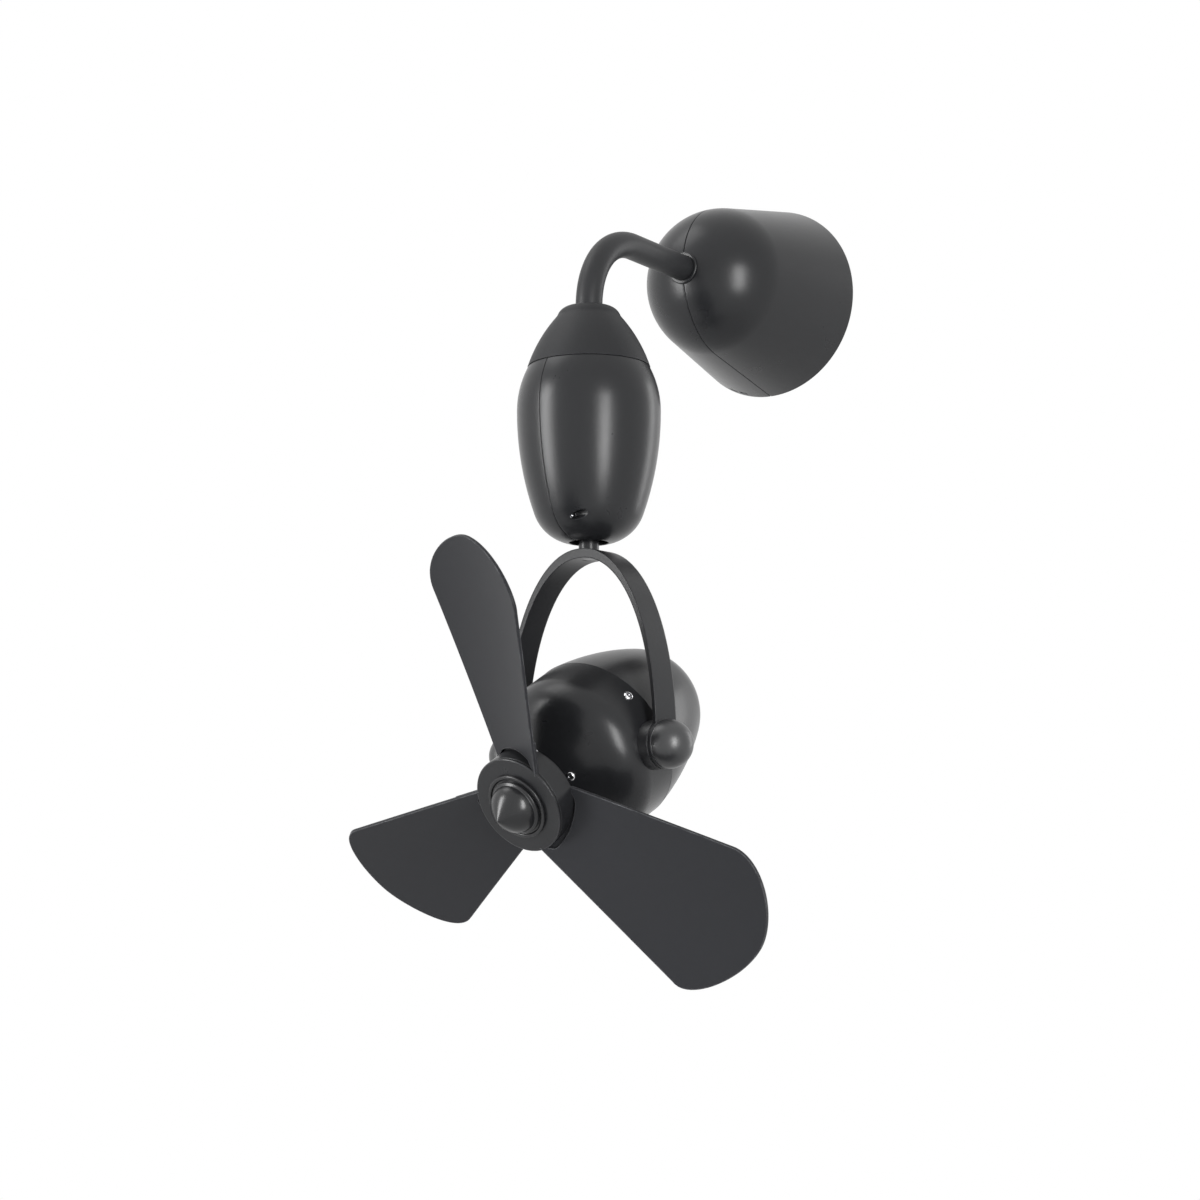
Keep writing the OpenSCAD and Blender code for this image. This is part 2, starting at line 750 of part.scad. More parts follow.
// Swing shaft: stepped, with a clip groove at the top and a flatted end in the yoke
seat_flat = yoke_rise*(1 - pow(1 - pow((shaft_r + 0.8)/yoke_half, yoke_full), 1/yoke_full));
spigot_r = 5;
spigot_flat = 4;
shaft_step = gear_z - gear_w - gear_hub_h;

module swing_shaft() {
    top = mid_top + 2.6;
    seat = yoke_top - seat_flat;
    color(STEEL) at_gearbox() difference() {
        union() {
            translate([0, 0, shaft_step - 1]) cylinder(r = shaft_top_r, h = top - shaft_step + 1);
            translate([0, 0, seat]) cylinder(r = shaft_r, h = shaft_step - seat);
            translate([0, 0, floor_top - low_bearing[2] - 1 - collar_t])
                cylinder(r = shaft_r + 2, h = collar_t);
            spigot(0, yoke_top - yoke_crown, seat + 1);
        }
        translate([0, 0, mid_top - lip_t]) ring(shaft_top_r - 0.8, shaft_top_r + 2, clip_t + 0.1);
        gear_pin_hole(seat_gap);
    }
}

module spigot(gap, low, high) {
    intersection() {
        translate([0, 0, low]) cylinder(r = spigot_r + gap, h = high - low, $fn = 48);
        translate([-spigot_flat - gap, -spigot_r - 1, low])
            cube([2*(spigot_flat + gap), 2*spigot_r + 2, high - low]);
    }
}

module shaft_circlip() {
    color(STEEL) at_gearbox() translate([0, 0, mid_top - lip_t]) difference() {
        ring(shaft_top_r - 0.8 + seat_gap, shaft_top_r + 2.6, clip_t);
        translate([shaft_top_r - 2, -2.5, -1]) cube([6, 5, clip_t + 2]);
    }
}

// Yoke: an arch a little fuller than half an ellipse, thick at its crown, with an eye at each end
function arch(a, b, n = 72) = [for (i = [0:n]) let (t = 180*i/n)
    [a*sign(cos(t))*pow(abs(cos(t)), 2/yoke_full), b*pow(sin(t), 2/yoke_full)]];

module yoke() {
    color(CHARCOAL) at_gearbox() translate([0, 0, pivot_z]) difference() {
        union() {
            rotate([90, 0, 0]) translate([0, 0, -yoke_w/2]) linear_extrude(yoke_w)
                polygon(concat(arch(yoke_half, yoke_rise),
                    turned(arch(eye_in, yoke_rise - yoke_crown))));
            for (side = [0, 180]) rotate([0, 0, side]) translate([eye_in, 0, 0])
                rotate([0, 90, 0]) cylinder(r = eye_r, h = yoke_t);
        }
        translate([-far/2, 0, 0]) rotate([0, 90, 0]) cylinder(r = bolt_r + run_gap, h = far);
        // Flat seats for the washers inside the eyes
        for (side = [0, 180]) rotate([0, 0, side]) translate([eye_in - 3, 0, 0])
            rotate([0, 90, 0]) cylinder(r = eye_r + loose_gap, h = 3);
        translate([0, 0, yoke_rise - seat_flat]) cylinder(r = shaft_r + 0.8, h = 10);
        spigot(seat_gap, yoke_rise - 20, yoke_rise + 1);
    }
}

// Pivots: spacer, washer, yoke eye, washer, bolt head and a round cap over it
module pivot_spacers() {
    color(CHARCOAL) difference() {
        at_pivots() {
            translate([0, 0, motor_r - 12]) cylinder(r = knob_r, h = spacer_end - motor_r + 12);
        }
        at_motor() motor_form(-0.2, -far, far);
        at_pivots() cylinder(r = stem_r - 1, h = far);
    }
    color(CHARCOAL) at_pivots() translate([0, 0, lug_out])
        ring(bolt_r + seat_gap, stem_r - 1, spacer_end - lug_out);
}

module friction_washers() {
    color(STEEL) at_pivots() for (z = [spacer_end, yoke_half])
        translate([0, 0, z]) ring(bolt_r + seat_gap, eye_r - 0.4, washer_t);
}

module pivot_bolts() {
    color(STEEL) at_pivots() difference() {
        union() {
            translate([0, 0, lug_out - 9]) cylinder(r = bolt_r, h = head_seat - lug_out + 9.5);
            translate([0, 0, head_seat]) cylinder(r = bolt_head[0], h = bolt_head[1]);
        }
        translate([0, 0, head_seat + 2]) cylinder(r = 3, h = bolt_head[1], $fn = 6);
    }
}

module pivot_caps() {
    dome = cap_seat + 1.1;
    wall = 2.2;
    grip = bolt_head[0] + 0.1;
    grip_wall = 1.8;
    grip_top = dome + sqrt(pow(knob_r - wall*0.4, 2) - pow(grip + grip_wall, 2));
    color(CHARCOAL) at_pivots() {
        rotate_extrude() polygon(concat([[knob_r - wall, cap_seat], [knob_r, cap_seat]],
            arc(0, dome, knob_r, 0, 90, 18), turned(arc(0, dome, knob_r - wall, 0, 90, 14))));
        translate([0, 0, cap_seat + 1]) ring(grip, grip + grip_wall, grip_top - cap_seat - 1);
    }
}

// Motor outline as radius against distance along the axis, drawn w inside the skin
cone_end = [shoulder_s + shoulder_rho*cos(face_tilt), motor_r - shoulder_rho*(1 - sin(face_tilt))];
rear_top_r = motor_r + 0.1 + rear_arc - sqrt(pow(rear_arc, 2) - pow(rear_top_s - shell_seam, 2));
rear_nose_s = rear_top_s - sqrt(pow(rear_arc - rear_nose_r, 2) - pow(rear_arc - rear_top_r, 2));
rear_turn = atan2(rear_nose_s - rear_top_s, rear_arc - rear_top_r);

function front_line(w) =
    let (root = boss_front_r - w, foot = [root + 6, cone_end[0] - w*cos(face_tilt)
            + (cone_end[1] - root - 6)*tan(face_tilt)])
    concat(
        [[motor_r - w, shell_seam]],
        arc(motor_r - shoulder_rho, shoulder_s, shoulder_rho - w, 0, 90 - face_tilt, 14),
        curve(foot, foot + 4*[-cos(face_tilt), sin(face_tilt)], [root, foot[1] + 3],
            [root, foot[1] + 6], 6));

function rear_line(w) = concat(
    arc(rear_top_r - rear_arc, rear_top_s, rear_arc - w,
        asin((shell_seam - rear_top_s)/(rear_arc - w)), rear_turn, 14),
    arc(0, rear_nose_s, rear_nose_r - w, rear_turn - 4, -90, 18));

module motor_form(w, low, high) {
    rear = rear_line(w);
    front = front_line(w);
    rotate_extrude() polygon(concat([[0, max(low, rear_nose_s - rear_nose_r + w)]],
        turned(rear), front, [[boss_front_r - w, boss_front_s], [0, boss_front_s]]));
}

module at_shell_screws() {
    for (a = [36, 156, 276]) rotate([0, 0, a]) translate([motor_r, 0, -5]) rotate([0, 90, 0])
        children();
}

module at_front_screws() {
    for (a = [0:90:270]) rotate([0, 0, a + front_screw_turn]) translate([front_screw_pcr, 0, 0]) children();
}

front_screw_s = cone_end[0] + (cone_end[1] - front_screw_pcr)*tan(face_tilt) - 1.2;
boss_gap = 1.5;

module motor_shell_front() {
    lip = motor_r - motor_wall;
    color(CHARCOAL) at_motor() difference() {
        union() {
            rotate_extrude() polygon(concat(front_line(0),
                [[boss_front_r, boss_front_s - 1], [boss_front_r - 1, boss_front_s],
                 [axle_r + boss_gap, boss_front_s]],
                [[axle_r + boss_gap, front_line(motor_wall)[21][1]]],
                turned([for (i = [0:15]) front_line(motor_wall)[i]])));
            intersection() {
                at_front_screws() translate([0, 0, front_bracket + bracket_t])
                    cylinder(r = m4[0] + 2.6, h = 40, $fn = 48);
                motor_form(motor_wall/2, shell_seam, boss_front_s);
            }
        }
        at_front_screws() {
            cylinder(r = m4[0] + 0.1, h = far, $fn = 32);
            translate([0, 0, front_screw_s]) cylinder(r = m4[1] + loose_gap, h = far, $fn = 48);
        }
        at_shell_screws() cylinder(r = m4[0] + 0.1, h = 20, center = true, $fn = 32);
        at_shell_screws() translate([0, 0, -0.9]) cylinder(r = m4[1] + 0.2, h = 20, $fn = 48);
        for (side = [0, 180]) rotate([0, 0, side]) rotate([0, 90, 0])
            cylinder(r = stem_r - 1 + loose_gap, h = far);
    }
}

module motor_shell_rear() {
    spigot_out = motor_r - motor_wall - 0.2;
    spigot_w = 2.2;
    reach_in = 8;
    color(CHARCOAL) at_motor() difference() {
        union() {
            rotate_extrude() polygon(concat(rear_line(0), turned(rear_line(motor_wall))));
            translate([0, 0, shell_seam - 6]) ring(spigot_out - spigot_w, spigot_out, 6 + reach_in);
            translate([0, 0, shell_seam - 6]) ring(spigot_out - spigot_w, rear_top_r - 4.2, 4);
            intersection() {
                at_shell_screws() translate([0, 0, -11]) cylinder(r = 5, h = 9, $fn = 48);
                translate([0, 0, shell_seam - 6]) cylinder(r = spigot_out, h = 40);
            }
        }
        at_shell_screws() cylinder(r = m4[0] + seat_gap, h = 40, center = true, $fn = 32);
        for (side = [0, 180]) rotate([0, 0, side]) rotate([0, 90, 0])
            cylinder(r = stem_r - 1 + loose_gap, h = far);
        rear_vents();
    }
}

// A ring of air slots in the rear shell, round its tail
module rear_vents() {
    slot = [11, 3];
    for (a = [0:30:330]) rotate([0, 0, a]) translate([24, -slot[1]/2, rear_nose_s - far])
        cube([slot[0], slot[1], far]);
}

module shell_screws() {
    color(STEEL) at_motor() at_shell_screws() translate([0, 0, -0.9]) screw(m4, 9);
}

module front_screws() {
    color(STEEL) at_motor() at_front_screws() translate([0, 0, front_screw_s])
        screw(m4, front_screw_s - front_bracket);
}

module at_stator_bolts() {
    for (a = [45:90:315]) rotate([0, 0, a]) translate([stator_bolt_pcr, 0, 0]) children();
}

// Front bracket: bearing plate with two lugs that take the pivot bolts
module motor_bracket_front() {
    color(CAST) at_motor() difference() {
        union() {
            translate([0, 0, front_bracket]) cylinder(r = 47, h = bracket_t);
            translate([0, 0, front_bracket]) cylinder(r = motor_bearing[1] + bearing_shell,
                h = motor_bearing[2] + bracket_t + 1);
            at_stator_bolts() translate([0, 0, stator_s + stator_len])
                cylinder(r = 4.5, h = front_bracket - stator_s - stator_len + 1, $fn = 48);
            for (side = [0, 180]) rotate([0, 0, side]) rotate([90, 0, 0])
                translate([0, 0, -lug_w/2]) linear_extrude(lug_w)
                    polygon([[lug_out - 8.5, -9], [lug_out, -9], [lug_out, 16],
                        [lug_out - 6, front_bracket + bracket_t], [40, front_bracket + bracket_t],
                        [40, front_bracket], [lug_out - 10, front_bracket - 2],
                        [lug_out - 8.5, front_bracket - 8]]);
        }
        translate([0, 0, front_bracket + bracket_t])
            cylinder(r = motor_bearing[1] + seat_gap, h = 40);
        translate([0, 0, front_bracket - 1]) cylinder(r = motor_bearing[1] - 3, h = 20);
        at_stator_bolts() cylinder(r = m4[0] + 0.1, h = far, center = true, $fn = 32);
        at_front_screws() cylinder(r = m4[0] + seat_gap, h = far, $fn = 32);
        translate([-far/2, 0, 0]) rotate([0, 90, 0]) cylinder(r = bolt_r + seat_gap, h = far);
    }
}

module motor_bracket_rear() {
    color(CAST) at_motor() difference() {
        union() {
            translate([0, 0, rear_bracket]) cylinder(r = 45, h = bracket_t);
            translate([0, 0, rear_bracket - motor_bearing[2] - 1])
                cylinder(r = motor_bearing[1] + bearing_shell, h = motor_bearing[2] + bracket_t);
            at_stator_bolts() translate([0, 0, rear_bracket + bracket_t - 1])
                cylinder(r = 4.5, h = stator_s - rear_bracket - bracket_t + 1, $fn = 48);
        }
        translate([0, 0, rear_bracket - 40]) cylinder(r = motor_bearing[1] + seat_gap, h = 40);
        translate([0, 0, rear_bracket - 20]) cylinder(r = motor_bearing[1] - 3, h = 40);
        at_stator_bolts() cylinder(r = m4[0] + 0.1, h = far, center = true, $fn = 32);
    }
}

module stator_core() {
    color(STEEL) at_motor() translate([0, 0, stator_s]) difference() {
        ring(stator_bore, stator_r, stator_len);
        for (i = [0:slots - 1]) rotate([0, 0, i*360/slots]) {
            translate([slot_in, -3, -1]) cube([slot_out - slot_in, 6, stator_len + 2]);
            translate([stator_bore - 2, -0.8, -1]) cube([5, 1.6, stator_len + 2]);
        }
        at_stator_bolts() cylinder(r = m4[0] + 0.1, h = far, center = true, $fn = 32);
    }
}

// Windings: an oval bundle round each end of the core and a bar through every slot
module stator_windings() {
    mid = (slot_in + slot_out)/2;
    bundle = 3.6;
    color(COPPER) at_motor() {
        for (s = [stator_s - bundle - 0.3, stator_s + stator_len + bundle + 0.3])
            translate([0, 0, s]) rotate_extrude() translate([mid, 0]) circle(r = bundle, $fn = 32);
        for (i = [0:slots - 1]) rotate([0, 0, i*360/slots])
            translate([slot_in + 0.3, -2.7, stator_s - bundle - 0.3])
                cube([slot_out - slot_in - 0.6, 5.4, stator_len + 2*bundle + 0.6]);
    }
}

module stator_bolts() {
    head_s = front_bracket + bracket_t;
    l = head_s - rear_bracket + 6;
    color(STEEL) at_motor() at_stator_bolts() {
        translate([0, 0, head_s]) screw(m4, l);
        translate([0, 0, rear_bracket - 3.2]) hex_nut(4, 3.2, m4[0] + seat_gap);
    }
}

module run_capacitor() {
    size = [38, 16, 22];
    color(BLACK) at_motor() difference() {
        translate([-size[0]/2, motor_bearing[1] + bearing_shell + 4, rear_bracket - size[2]])
            cube(size);
        for (x = [-1, 1]) translate([x*size[0]/2, motor_bearing[1] + bearing_shell + 3,
            rear_bracket - size[2] - 1]) rotate([0, 0, 45])
                cube([3, 3, 2*size[2] + 4], center = true);
    }
}

module motor_bearings() {
    color(STEEL) at_motor() {
        translate([0, 0, front_bracket + bracket_t]) bearing(motor_bearing);
        translate([0, 0, rear_bracket - motor_bearing[2]]) bearing(motor_bearing);
    }
}

module motor_shaft() {
    color(STEEL) at_motor() rotate_extrude() polygon([[0, axle_rear], [axle_r - 1, axle_rear],
        [axle_r, axle_rear + 1], [axle_r, axle_front - 1], [axle_r - 1, axle_front], [0, axle_front]]);
}

// Rotor: laminated core with end rings and a ring of small fan vanes
module rotor() {
    core_r = stator_bore - air_gap;
    color(CAST) at_motor() difference() {
        union() {
            translate([0, 0, stator_s]) cylinder(r = core_r, h = stator_len);
            for (s = [stator_s - 4, stator_s + stator_len]) translate([0, 0, s])
                ring(core_r - 7, core_r - 1, 4);
            for (s = [stator_s - 5, stator_s + stator_len]) translate([0, 0, s])
                cylinder(r = axle_r + 3.5, h = 5);
        }
        translate([0, 0, -far/2]) cylinder(r = axle_r + seat_gap, h = far);
    }
}

// Blades: a curved sheet cut to the paddle outline and hollowed round the hub, with a flat tab
// that enters it
module at_blade(i) {
    at_motor() rotate([0, 0, blade_turn + i*360/blade_count]) translate([0, 0, blade_s])
        rotate([-blade_pitch, 0, 0]) children();
}

blade_low = -33;
blade_tip_c = 21;
blade_high = 74.8;
function blade_line() = let (r = sweep_r - 1.2)
    concat(
        [[20, -22.5]],
        curve([r - 52, blade_low + 0.4], [r - 14, blade_low - 2], [r, -16], [r, blade_tip_c]),
        curve([r, blade_tip_c + 3], [r, 46], [r - 27, blade_high + 8.8], [r - 51, blade_high]),
        [[20, 27.8]]);

module blade_sheet(t) {
    mid_c = (tab_c[0] + tab_c[1])/2;
    translate([0, mid_c, blade_curve]) rotate([0, 90, 0]) difference() {
        cylinder(r = blade_curve + t/2, h = sweep_r + 10, $fn = 360);
        translate([0, 0, -1]) cylinder(r = blade_curve - t/2, h = sweep_r + 12, $fn = 360);
    }
}

module blade(i) {
    color(CHARCOAL) at_blade(i) difference() {
        union() {
            intersection() {
                blade_sheet(blade_t);
                difference() {
                    translate([0, 0, -30]) linear_extrude(60) polygon(blade_line());
                    translate([notch_at[0], notch_at[1], -31]) cylinder(r = notch_r, h = 62);
                    rotate([blade_pitch, 0, 0])
                        cylinder(r = hub_r + root_gap, h = far, center = true);
                }
            }
            translate([tab_in, tab_c[0], -blade_t/2])
                cube([notch_at[0] + notch_r + 6 - tab_in, tab_c[1] - tab_c[0], blade_t]);
        }
        for (x = blade_screw_r) translate([x, blade_screw_c, -5])
            cylinder(r = m4[0] + 0.1, h = 10, $fn = 32);
    }
}

module blade_1() {
    blade(0);
}

module blade_2() {
    blade(1);
}

module blade_3() {
    blade(2);
}

module blade_screws() {
    color(STEEL) for (i = [0:blade_count - 1]) at_blade(i) for (x = blade_screw_r)
        translate([x, blade_screw_c, blade_t/2]) screw([m4[0], 3.2, 2.2], 8);
}

// Hub: a cup open to the front, with a boss on the shaft, slots in its wall and pitched pads
module hub() {
    inner = hub_r - hub_wall;
    rim = hub_front - front_plate_t;
    color(CHARCOAL) difference() {
        union() {
            at_motor() translate([0, 0, hub_back]) difference() {
                rotate_extrude() polygon([[0, 0], [hub_r - 1.2, 0], [hub_r, 1.2],
                    [hub_r, rim - hub_back], [0, rim - hub_back]]);
                translate([0, 0, hub_web]) cylinder(r = inner, h = hub_depth);
            }
            at_motor() translate([0, 0, hub_back]) cylinder(r = hub_boss_r, h = rim - hub_back);
            intersection() {
                for (i = [0:blade_count - 1]) at_blade(i)
                    translate([tab_in - 1, tab_c[0] - 1, -30 - blade_t/2])
                        cube([inner - tab_in + 2, tab_c[1] - tab_c[0] + 2, 30]);
                at_motor() translate([0, 0, hub_back + 1]) cylinder(r = inner + 0.5, h = hub_depth);
            }
        }
        at_motor() cylinder(r = axle_r + seat_gap, h = far);
        for (i = [0:blade_count - 1]) at_blade(i) {
            translate([hub_boss_r + 1, tab_c[0] - loose_gap, -blade_t/2])
                cube([hub_r, tab_c[1] - tab_c[0] + 2*loose_gap, blade_t + loose_gap]);
            for (x = blade_screw_r) translate([x, blade_screw_c, -20])
                cylinder(r = m4[0] + seat_gap, h = 30, $fn = 32);
        }
        at_set_screw() cylinder(r = m4[0] + seat_gap, h = hub_boss_r + 1, $fn = 32);
        at_set_screw() translate([0, 0, inner - 2]) cylinder(r = 3, h = 10, $fn = 32);
    }
}

module at_set_screw() {
    at_motor() rotate([0, 0, blade_turn + 60]) translate([0, 0, hub_back + 8])
        rotate([0, 90, 0]) children();
}

module hub_set_screw() {
    color(STEEL) at_set_screw() translate([0, 0, axle_r]) difference() {
        cylinder(r = m4[0], h = hub_boss_r - axle_r - 0.5, $fn = 32);
        translate([0, 0, hub_boss_r - axle_r - 2.5]) cylinder(r = 1.1, h = 3, $fn = 6);
    }
}

module hub_plate() {
    edge = 0.9;
    color(CHARCOAL) at_motor() translate([0, 0, hub_front - front_plate_t])
        rotate_extrude() polygon(concat([[axle_r + 0.1, 0], [hub_r, 0]],
            arc(hub_r - edge, front_plate_t - edge, edge, 0, 90, 5), [[axle_r + 0.1, front_plate_t]]));
}

module nose_ring() {
    step = 2.4;
    color(CHARCOAL) at_motor() translate([0, 0, hub_front]) rotate_extrude()
        polygon(concat([[axle_r + 0.1, 0], [ring_r, 0]], arc(ring_r - 0.8, ring_h - 0.8, 0.8, 0, 90, 4),
            [[ring_r - step, ring_h], [ring_r - step - 0.6, ring_h - 1.2],
             [axle_r + 0.1, ring_h - 1.2]]));
}

module nose_cone() {
    base = hub_front + ring_h - 1.2;
    color(CHARCOAL) at_motor() translate([0, 0, base]) difference() {
        rotate_extrude() polygon(concat([[0, 0], [nose_r, 0], [nose_r, 1.6]],
            arc(nose_r - 1, 1.6, 1, 0, 90, 4),
            curve([nose_r - 1.8, 3.2], [nose_r - 2.4, 11], [9.5, nose_h - 6], [0.7, nose_h - 0.4]),
            [[0, nose_h]]));
        translate([0, 0, -1]) cylinder(r = axle_r + seat_gap, h = axle_front - base + 2);
    }
}

wall_plate();
terminal_block();
canopy_left();
canopy_right();
canopy_screws();
tube_collar();
arm_tube();
arm_bolt();
gearbox_cap();
cap_screw();
gear_frame();
frame_screws();
casing_left();
casing_right();
casing_screws();
swing_motor();
swing_motor_screws();
shaft_bearings();
drive_pinion();
swing_shaft();
swing_gear();
gear_pin();
shaft_circlip();
yoke();
pivot_spacers();
friction_washers();
pivot_bolts();
pivot_caps();
motor_shell_front();
motor_shell_rear();
shell_screws();
front_screws();
motor_bracket_front();
motor_bracket_rear();
stator_core();
stator_windings();
stator_bolts();
run_capacitor();
motor_bearings();
motor_shaft();
rotor();
hub();
hub_plate();
blade_1();
blade_2();
blade_3();
blade_screws();
nose_ring();
nose_cone();
hub_set_screw();
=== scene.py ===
"""Finishes the wall fan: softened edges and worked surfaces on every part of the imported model, with
blades and a hub cup of their own, in a pale studio seen from below and to the right of the fan."""
import json
import math

import bmesh
import bpy
from mathutils import Matrix, Vector

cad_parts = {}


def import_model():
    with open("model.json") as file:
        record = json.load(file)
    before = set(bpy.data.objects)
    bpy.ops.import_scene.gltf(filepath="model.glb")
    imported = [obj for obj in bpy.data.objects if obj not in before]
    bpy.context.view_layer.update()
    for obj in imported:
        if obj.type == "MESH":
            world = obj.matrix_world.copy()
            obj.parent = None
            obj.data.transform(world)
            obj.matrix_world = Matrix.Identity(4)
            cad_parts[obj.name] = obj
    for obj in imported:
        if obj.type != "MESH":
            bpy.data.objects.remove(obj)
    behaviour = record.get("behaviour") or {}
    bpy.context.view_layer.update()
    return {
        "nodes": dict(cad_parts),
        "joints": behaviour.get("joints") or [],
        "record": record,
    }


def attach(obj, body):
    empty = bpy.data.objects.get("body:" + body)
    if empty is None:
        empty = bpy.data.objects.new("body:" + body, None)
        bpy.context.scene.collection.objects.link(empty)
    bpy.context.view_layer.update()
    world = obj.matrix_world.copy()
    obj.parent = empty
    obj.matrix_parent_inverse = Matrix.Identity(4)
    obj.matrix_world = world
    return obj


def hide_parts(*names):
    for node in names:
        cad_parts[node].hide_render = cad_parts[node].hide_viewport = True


bpy.ops.wm.read_factory_settings(use_empty=True)
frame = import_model()
NODES = frame["nodes"]
JOINTS = {joint["name"]: joint for joint in frame["joints"]}
MM = 0.001

# Camera, as in the photograph
VIEW_AZIMUTH = 33.51
VIEW_ELEVATION = -8.2
VIEW_TARGET = Vector((-0.06187, -0.16176, -0.26186))
VIEW_DISTANCE = 2.1
LENS = 81.0
SENSOR = 36.0
NEAREST, FARTHEST = 0.05, 200.0

# Studio: each lamp has its azimuth and elevation in degrees, its distance, width and height in metres,
# and how bright its surface looks
LAMPS = {
    "right_box": (58, -5, 2.6, 0.62, 2.2, 14.0),
    "left_box": (-36, 8, 2.4, 0.72, 1.7, 11.5),
    "top_box": (-55, 60, 2.4, 1.1, 1.1, 2.0),
    "rim_box": (152, 10, 2.4, 0.5, 1.6, 3.5),
}
FLOOR_Z = -0.95
FLOOR_HALF = 20.0
FLOOR_TONE = 0.86
AMBIENT_LEVEL = 0.32
FADE_FROM = 0.3
FADE_TO = 1.3

# Finishes
CHARCOAL = (0.0150, 0.0155, 0.0171)
CHARCOAL_BLADE = (0.0265, 0.0272, 0.0302)
CHARCOAL_GLOSS = (0.0105, 0.0108, 0.0119)
DUST = (0.30, 0.29, 0.27)
# Lighter edge colour: partly the bare edge of rubbed paint, partly a painted highlight along the edges
BARE_EDGE_AND_SHEEN = (0.150, 0.152, 0.160)
CAST_GREY = (0.42, 0.42, 0.43)
SHEET_LIGHT, SHEET_DARK = (0.42, 0.42, 0.44), (0.24, 0.24, 0.26)
COPPER_LIGHT, COPPER_DARK = (0.62, 0.26, 0.10), (0.42, 0.15, 0.055)
NYLON_CREAM = (0.74, 0.72, 0.64)
CASE_BLACK = (0.012, 0.012, 0.013)
ZINC = (0.60, 0.61, 0.63)
GROUND_STEEL = (0.62, 0.62, 0.63)
NICKEL = (0.80, 0.80, 0.82)
PLAIN = (0.5, 0.5, 0.5, 1.0)
ROUND_SAMPLES = 8
RUB_SAMPLES = 4

# Softened edges: radii in millimetres, the usual one and those of the parts that have their own
USUAL_EDGE = 0.25
EDGES = {
    "canopy_left": 0.6, "canopy_right": 0.6, "casing_left": 0.55, "casing_right": 0.55,
    "gearbox_cap": 0.6, "yoke": 0.9, "hub_plate": 0.8, "pivot_caps": 0.3, "motor_shell_front": 0.45,
    "motor_shell_rear": 0.45, "nose_ring": 0.5,
}
HUB_EDGE = 0.4
SHEET_EDGE_SHARE = 0.45
SPLIT_SHELLS = ("canopy_left", "canopy_right", "casing_left", "casing_right")
EDGE_ANGLE = math.radians(32)
EDGE_SEGMENTS = 3
FACE_WEIGHT = 50
WELD_GAP = 1e-6
FLAT_ANGLE = math.radians(0.05)

SPIN_AXIS = Vector(JOINTS["spin"]["axis"]).normalized()
SPIN_ORIGIN = Vector(JOINTS["spin"]["pos_m"])
TILT_AXIS = Vector(JOINTS["tilt"]["axis"]).normalized()

# Hub cup, in millimetres from the pivot along the motor's axis
HUB_RADIUS = 36.5
HUB_WALL = 3.0
HUB_WEB = 3.0
HUB_BOSS = 11.0
HUB_BORE = 5.1
HUB_BACK = 65.0
HUB_RIM = 83.5
HUB_CHAMFER = 1.2

# Blades: turn about the motor's axis and pitch in degrees, the rest in millimetres. A place on a blade
# is given as its reach from the motor's axis and its place across the blade. LOW and HIGH are its two
# sides, each straight from its root to its end, and the pulls draw the round tip from there
BLADE_COUNT = 3
BLADE_TURN = 75.9
BLADE_PITCH = 16.4
BLADE_PLACE = 73.8
BLADE_THICK = 2.5
BLADE_BEND = 294.0
BLADE_TROUGH = 29.6
SWEEP = 199.0
LOW_ROOT = (20.0, -22.8)
LOW_END = (159.8, -41.6)
LOW_PULLS = ((176.0, -46.0), (SWEEP, -13.3))
TIP = (SWEEP, 15.5)
HIGH_PULLS = ((169.2, 77.8), (SWEEP, 40.4))
HIGH_END = (144.9, 67.5)
HIGH_ROOT = (20.0, 26.9)
HOLLOW_AT = (-9.5, -4.3)
HOLLOW_RADIUS = 48.8
ROOT_MIDDLE = 2.3
ROOT_OPEN = 18.0
ROOT_CLOSED = 24.5
ROOT_BITE = 1.0
ROOT_GUESS = 30.0
ROOT_TRIES = 20
PAD_REACH = 54.0
PAD_THICK = 1.8
PAD_INSET = 0.2

# Fineness of the pieces made here: faces along and across a sheet, steps of a straight side and of half
# the tip, of which the first ones count as the side, and steps round the hub
PADDLE_GRID = (56, 30)
PAD_GRID = (8, 24)
SIDE_STEPS = 20
TIP_STEPS = 40
TIP_SIDE_STEPS = 25
LATHE_STEPS = 128


def direction(azimuth, elevation):
    """Unit vector towards a place at that azimuth and height, azimuth 0 being in front of the wall."""
    a, e = math.radians(azimuth), math.radians(elevation)
    return Vector((math.sin(a) * math.cos(e), -math.cos(a) * math.cos(e), math.sin(e)))


def into_scene(name, data):
    """A new object of the scene that shows that data."""
    thing = bpy.data.objects.new(name, data)
    bpy.context.scene.collection.objects.link(thing)
    return thing


def camera():
    """The view of the photograph."""
    data = bpy.data.cameras.new("camera")
    data.lens, data.sensor_width = LENS, SENSOR
    data.clip_start, data.clip_end = NEAREST, FARTHEST
    eye = into_scene("camera", data)
    back = direction(VIEW_AZIMUTH, VIEW_ELEVATION)
    eye.location = VIEW_TARGET + back * VIEW_DISTANCE
    eye.rotation_euler = (-back).to_track_quat("-Z", "Y").to_euler()
    bpy.context.scene.camera = eye


def softbox(name, azimuth, elevation, distance, width, height, radiance):
    """A rectangular lamp that faces the fan; radiance is how bright its surface looks."""
    data = bpy.data.lights.new(name, "AREA")
    data.shape = "RECTANGLE"
    data.size, data.size_y = width, height
    data.energy = radiance * math.pi * width * height
    lamp = into_scene(name, data)
    towards = direction(azimuth, elevation)
    lamp.location = VIEW_TARGET + towards * distance
    lamp.rotation_euler = towards.to_track_quat("Z", "Y").to_euler()
    lamp.visible_camera = False


def lights():
    """Two tall lamps at the sides, a faint one above and one that lights the rim from behind."""
    for name, values in LAMPS.items():
        softbox(name, *values)


def socket_of(sockets, key):
    """A socket by its place, its identifier or its name."""
    if isinstance(key, int):
        return sockets[key]
    for socket in sockets:
        if socket.identifier == key:
            return socket
    return sockets[key]


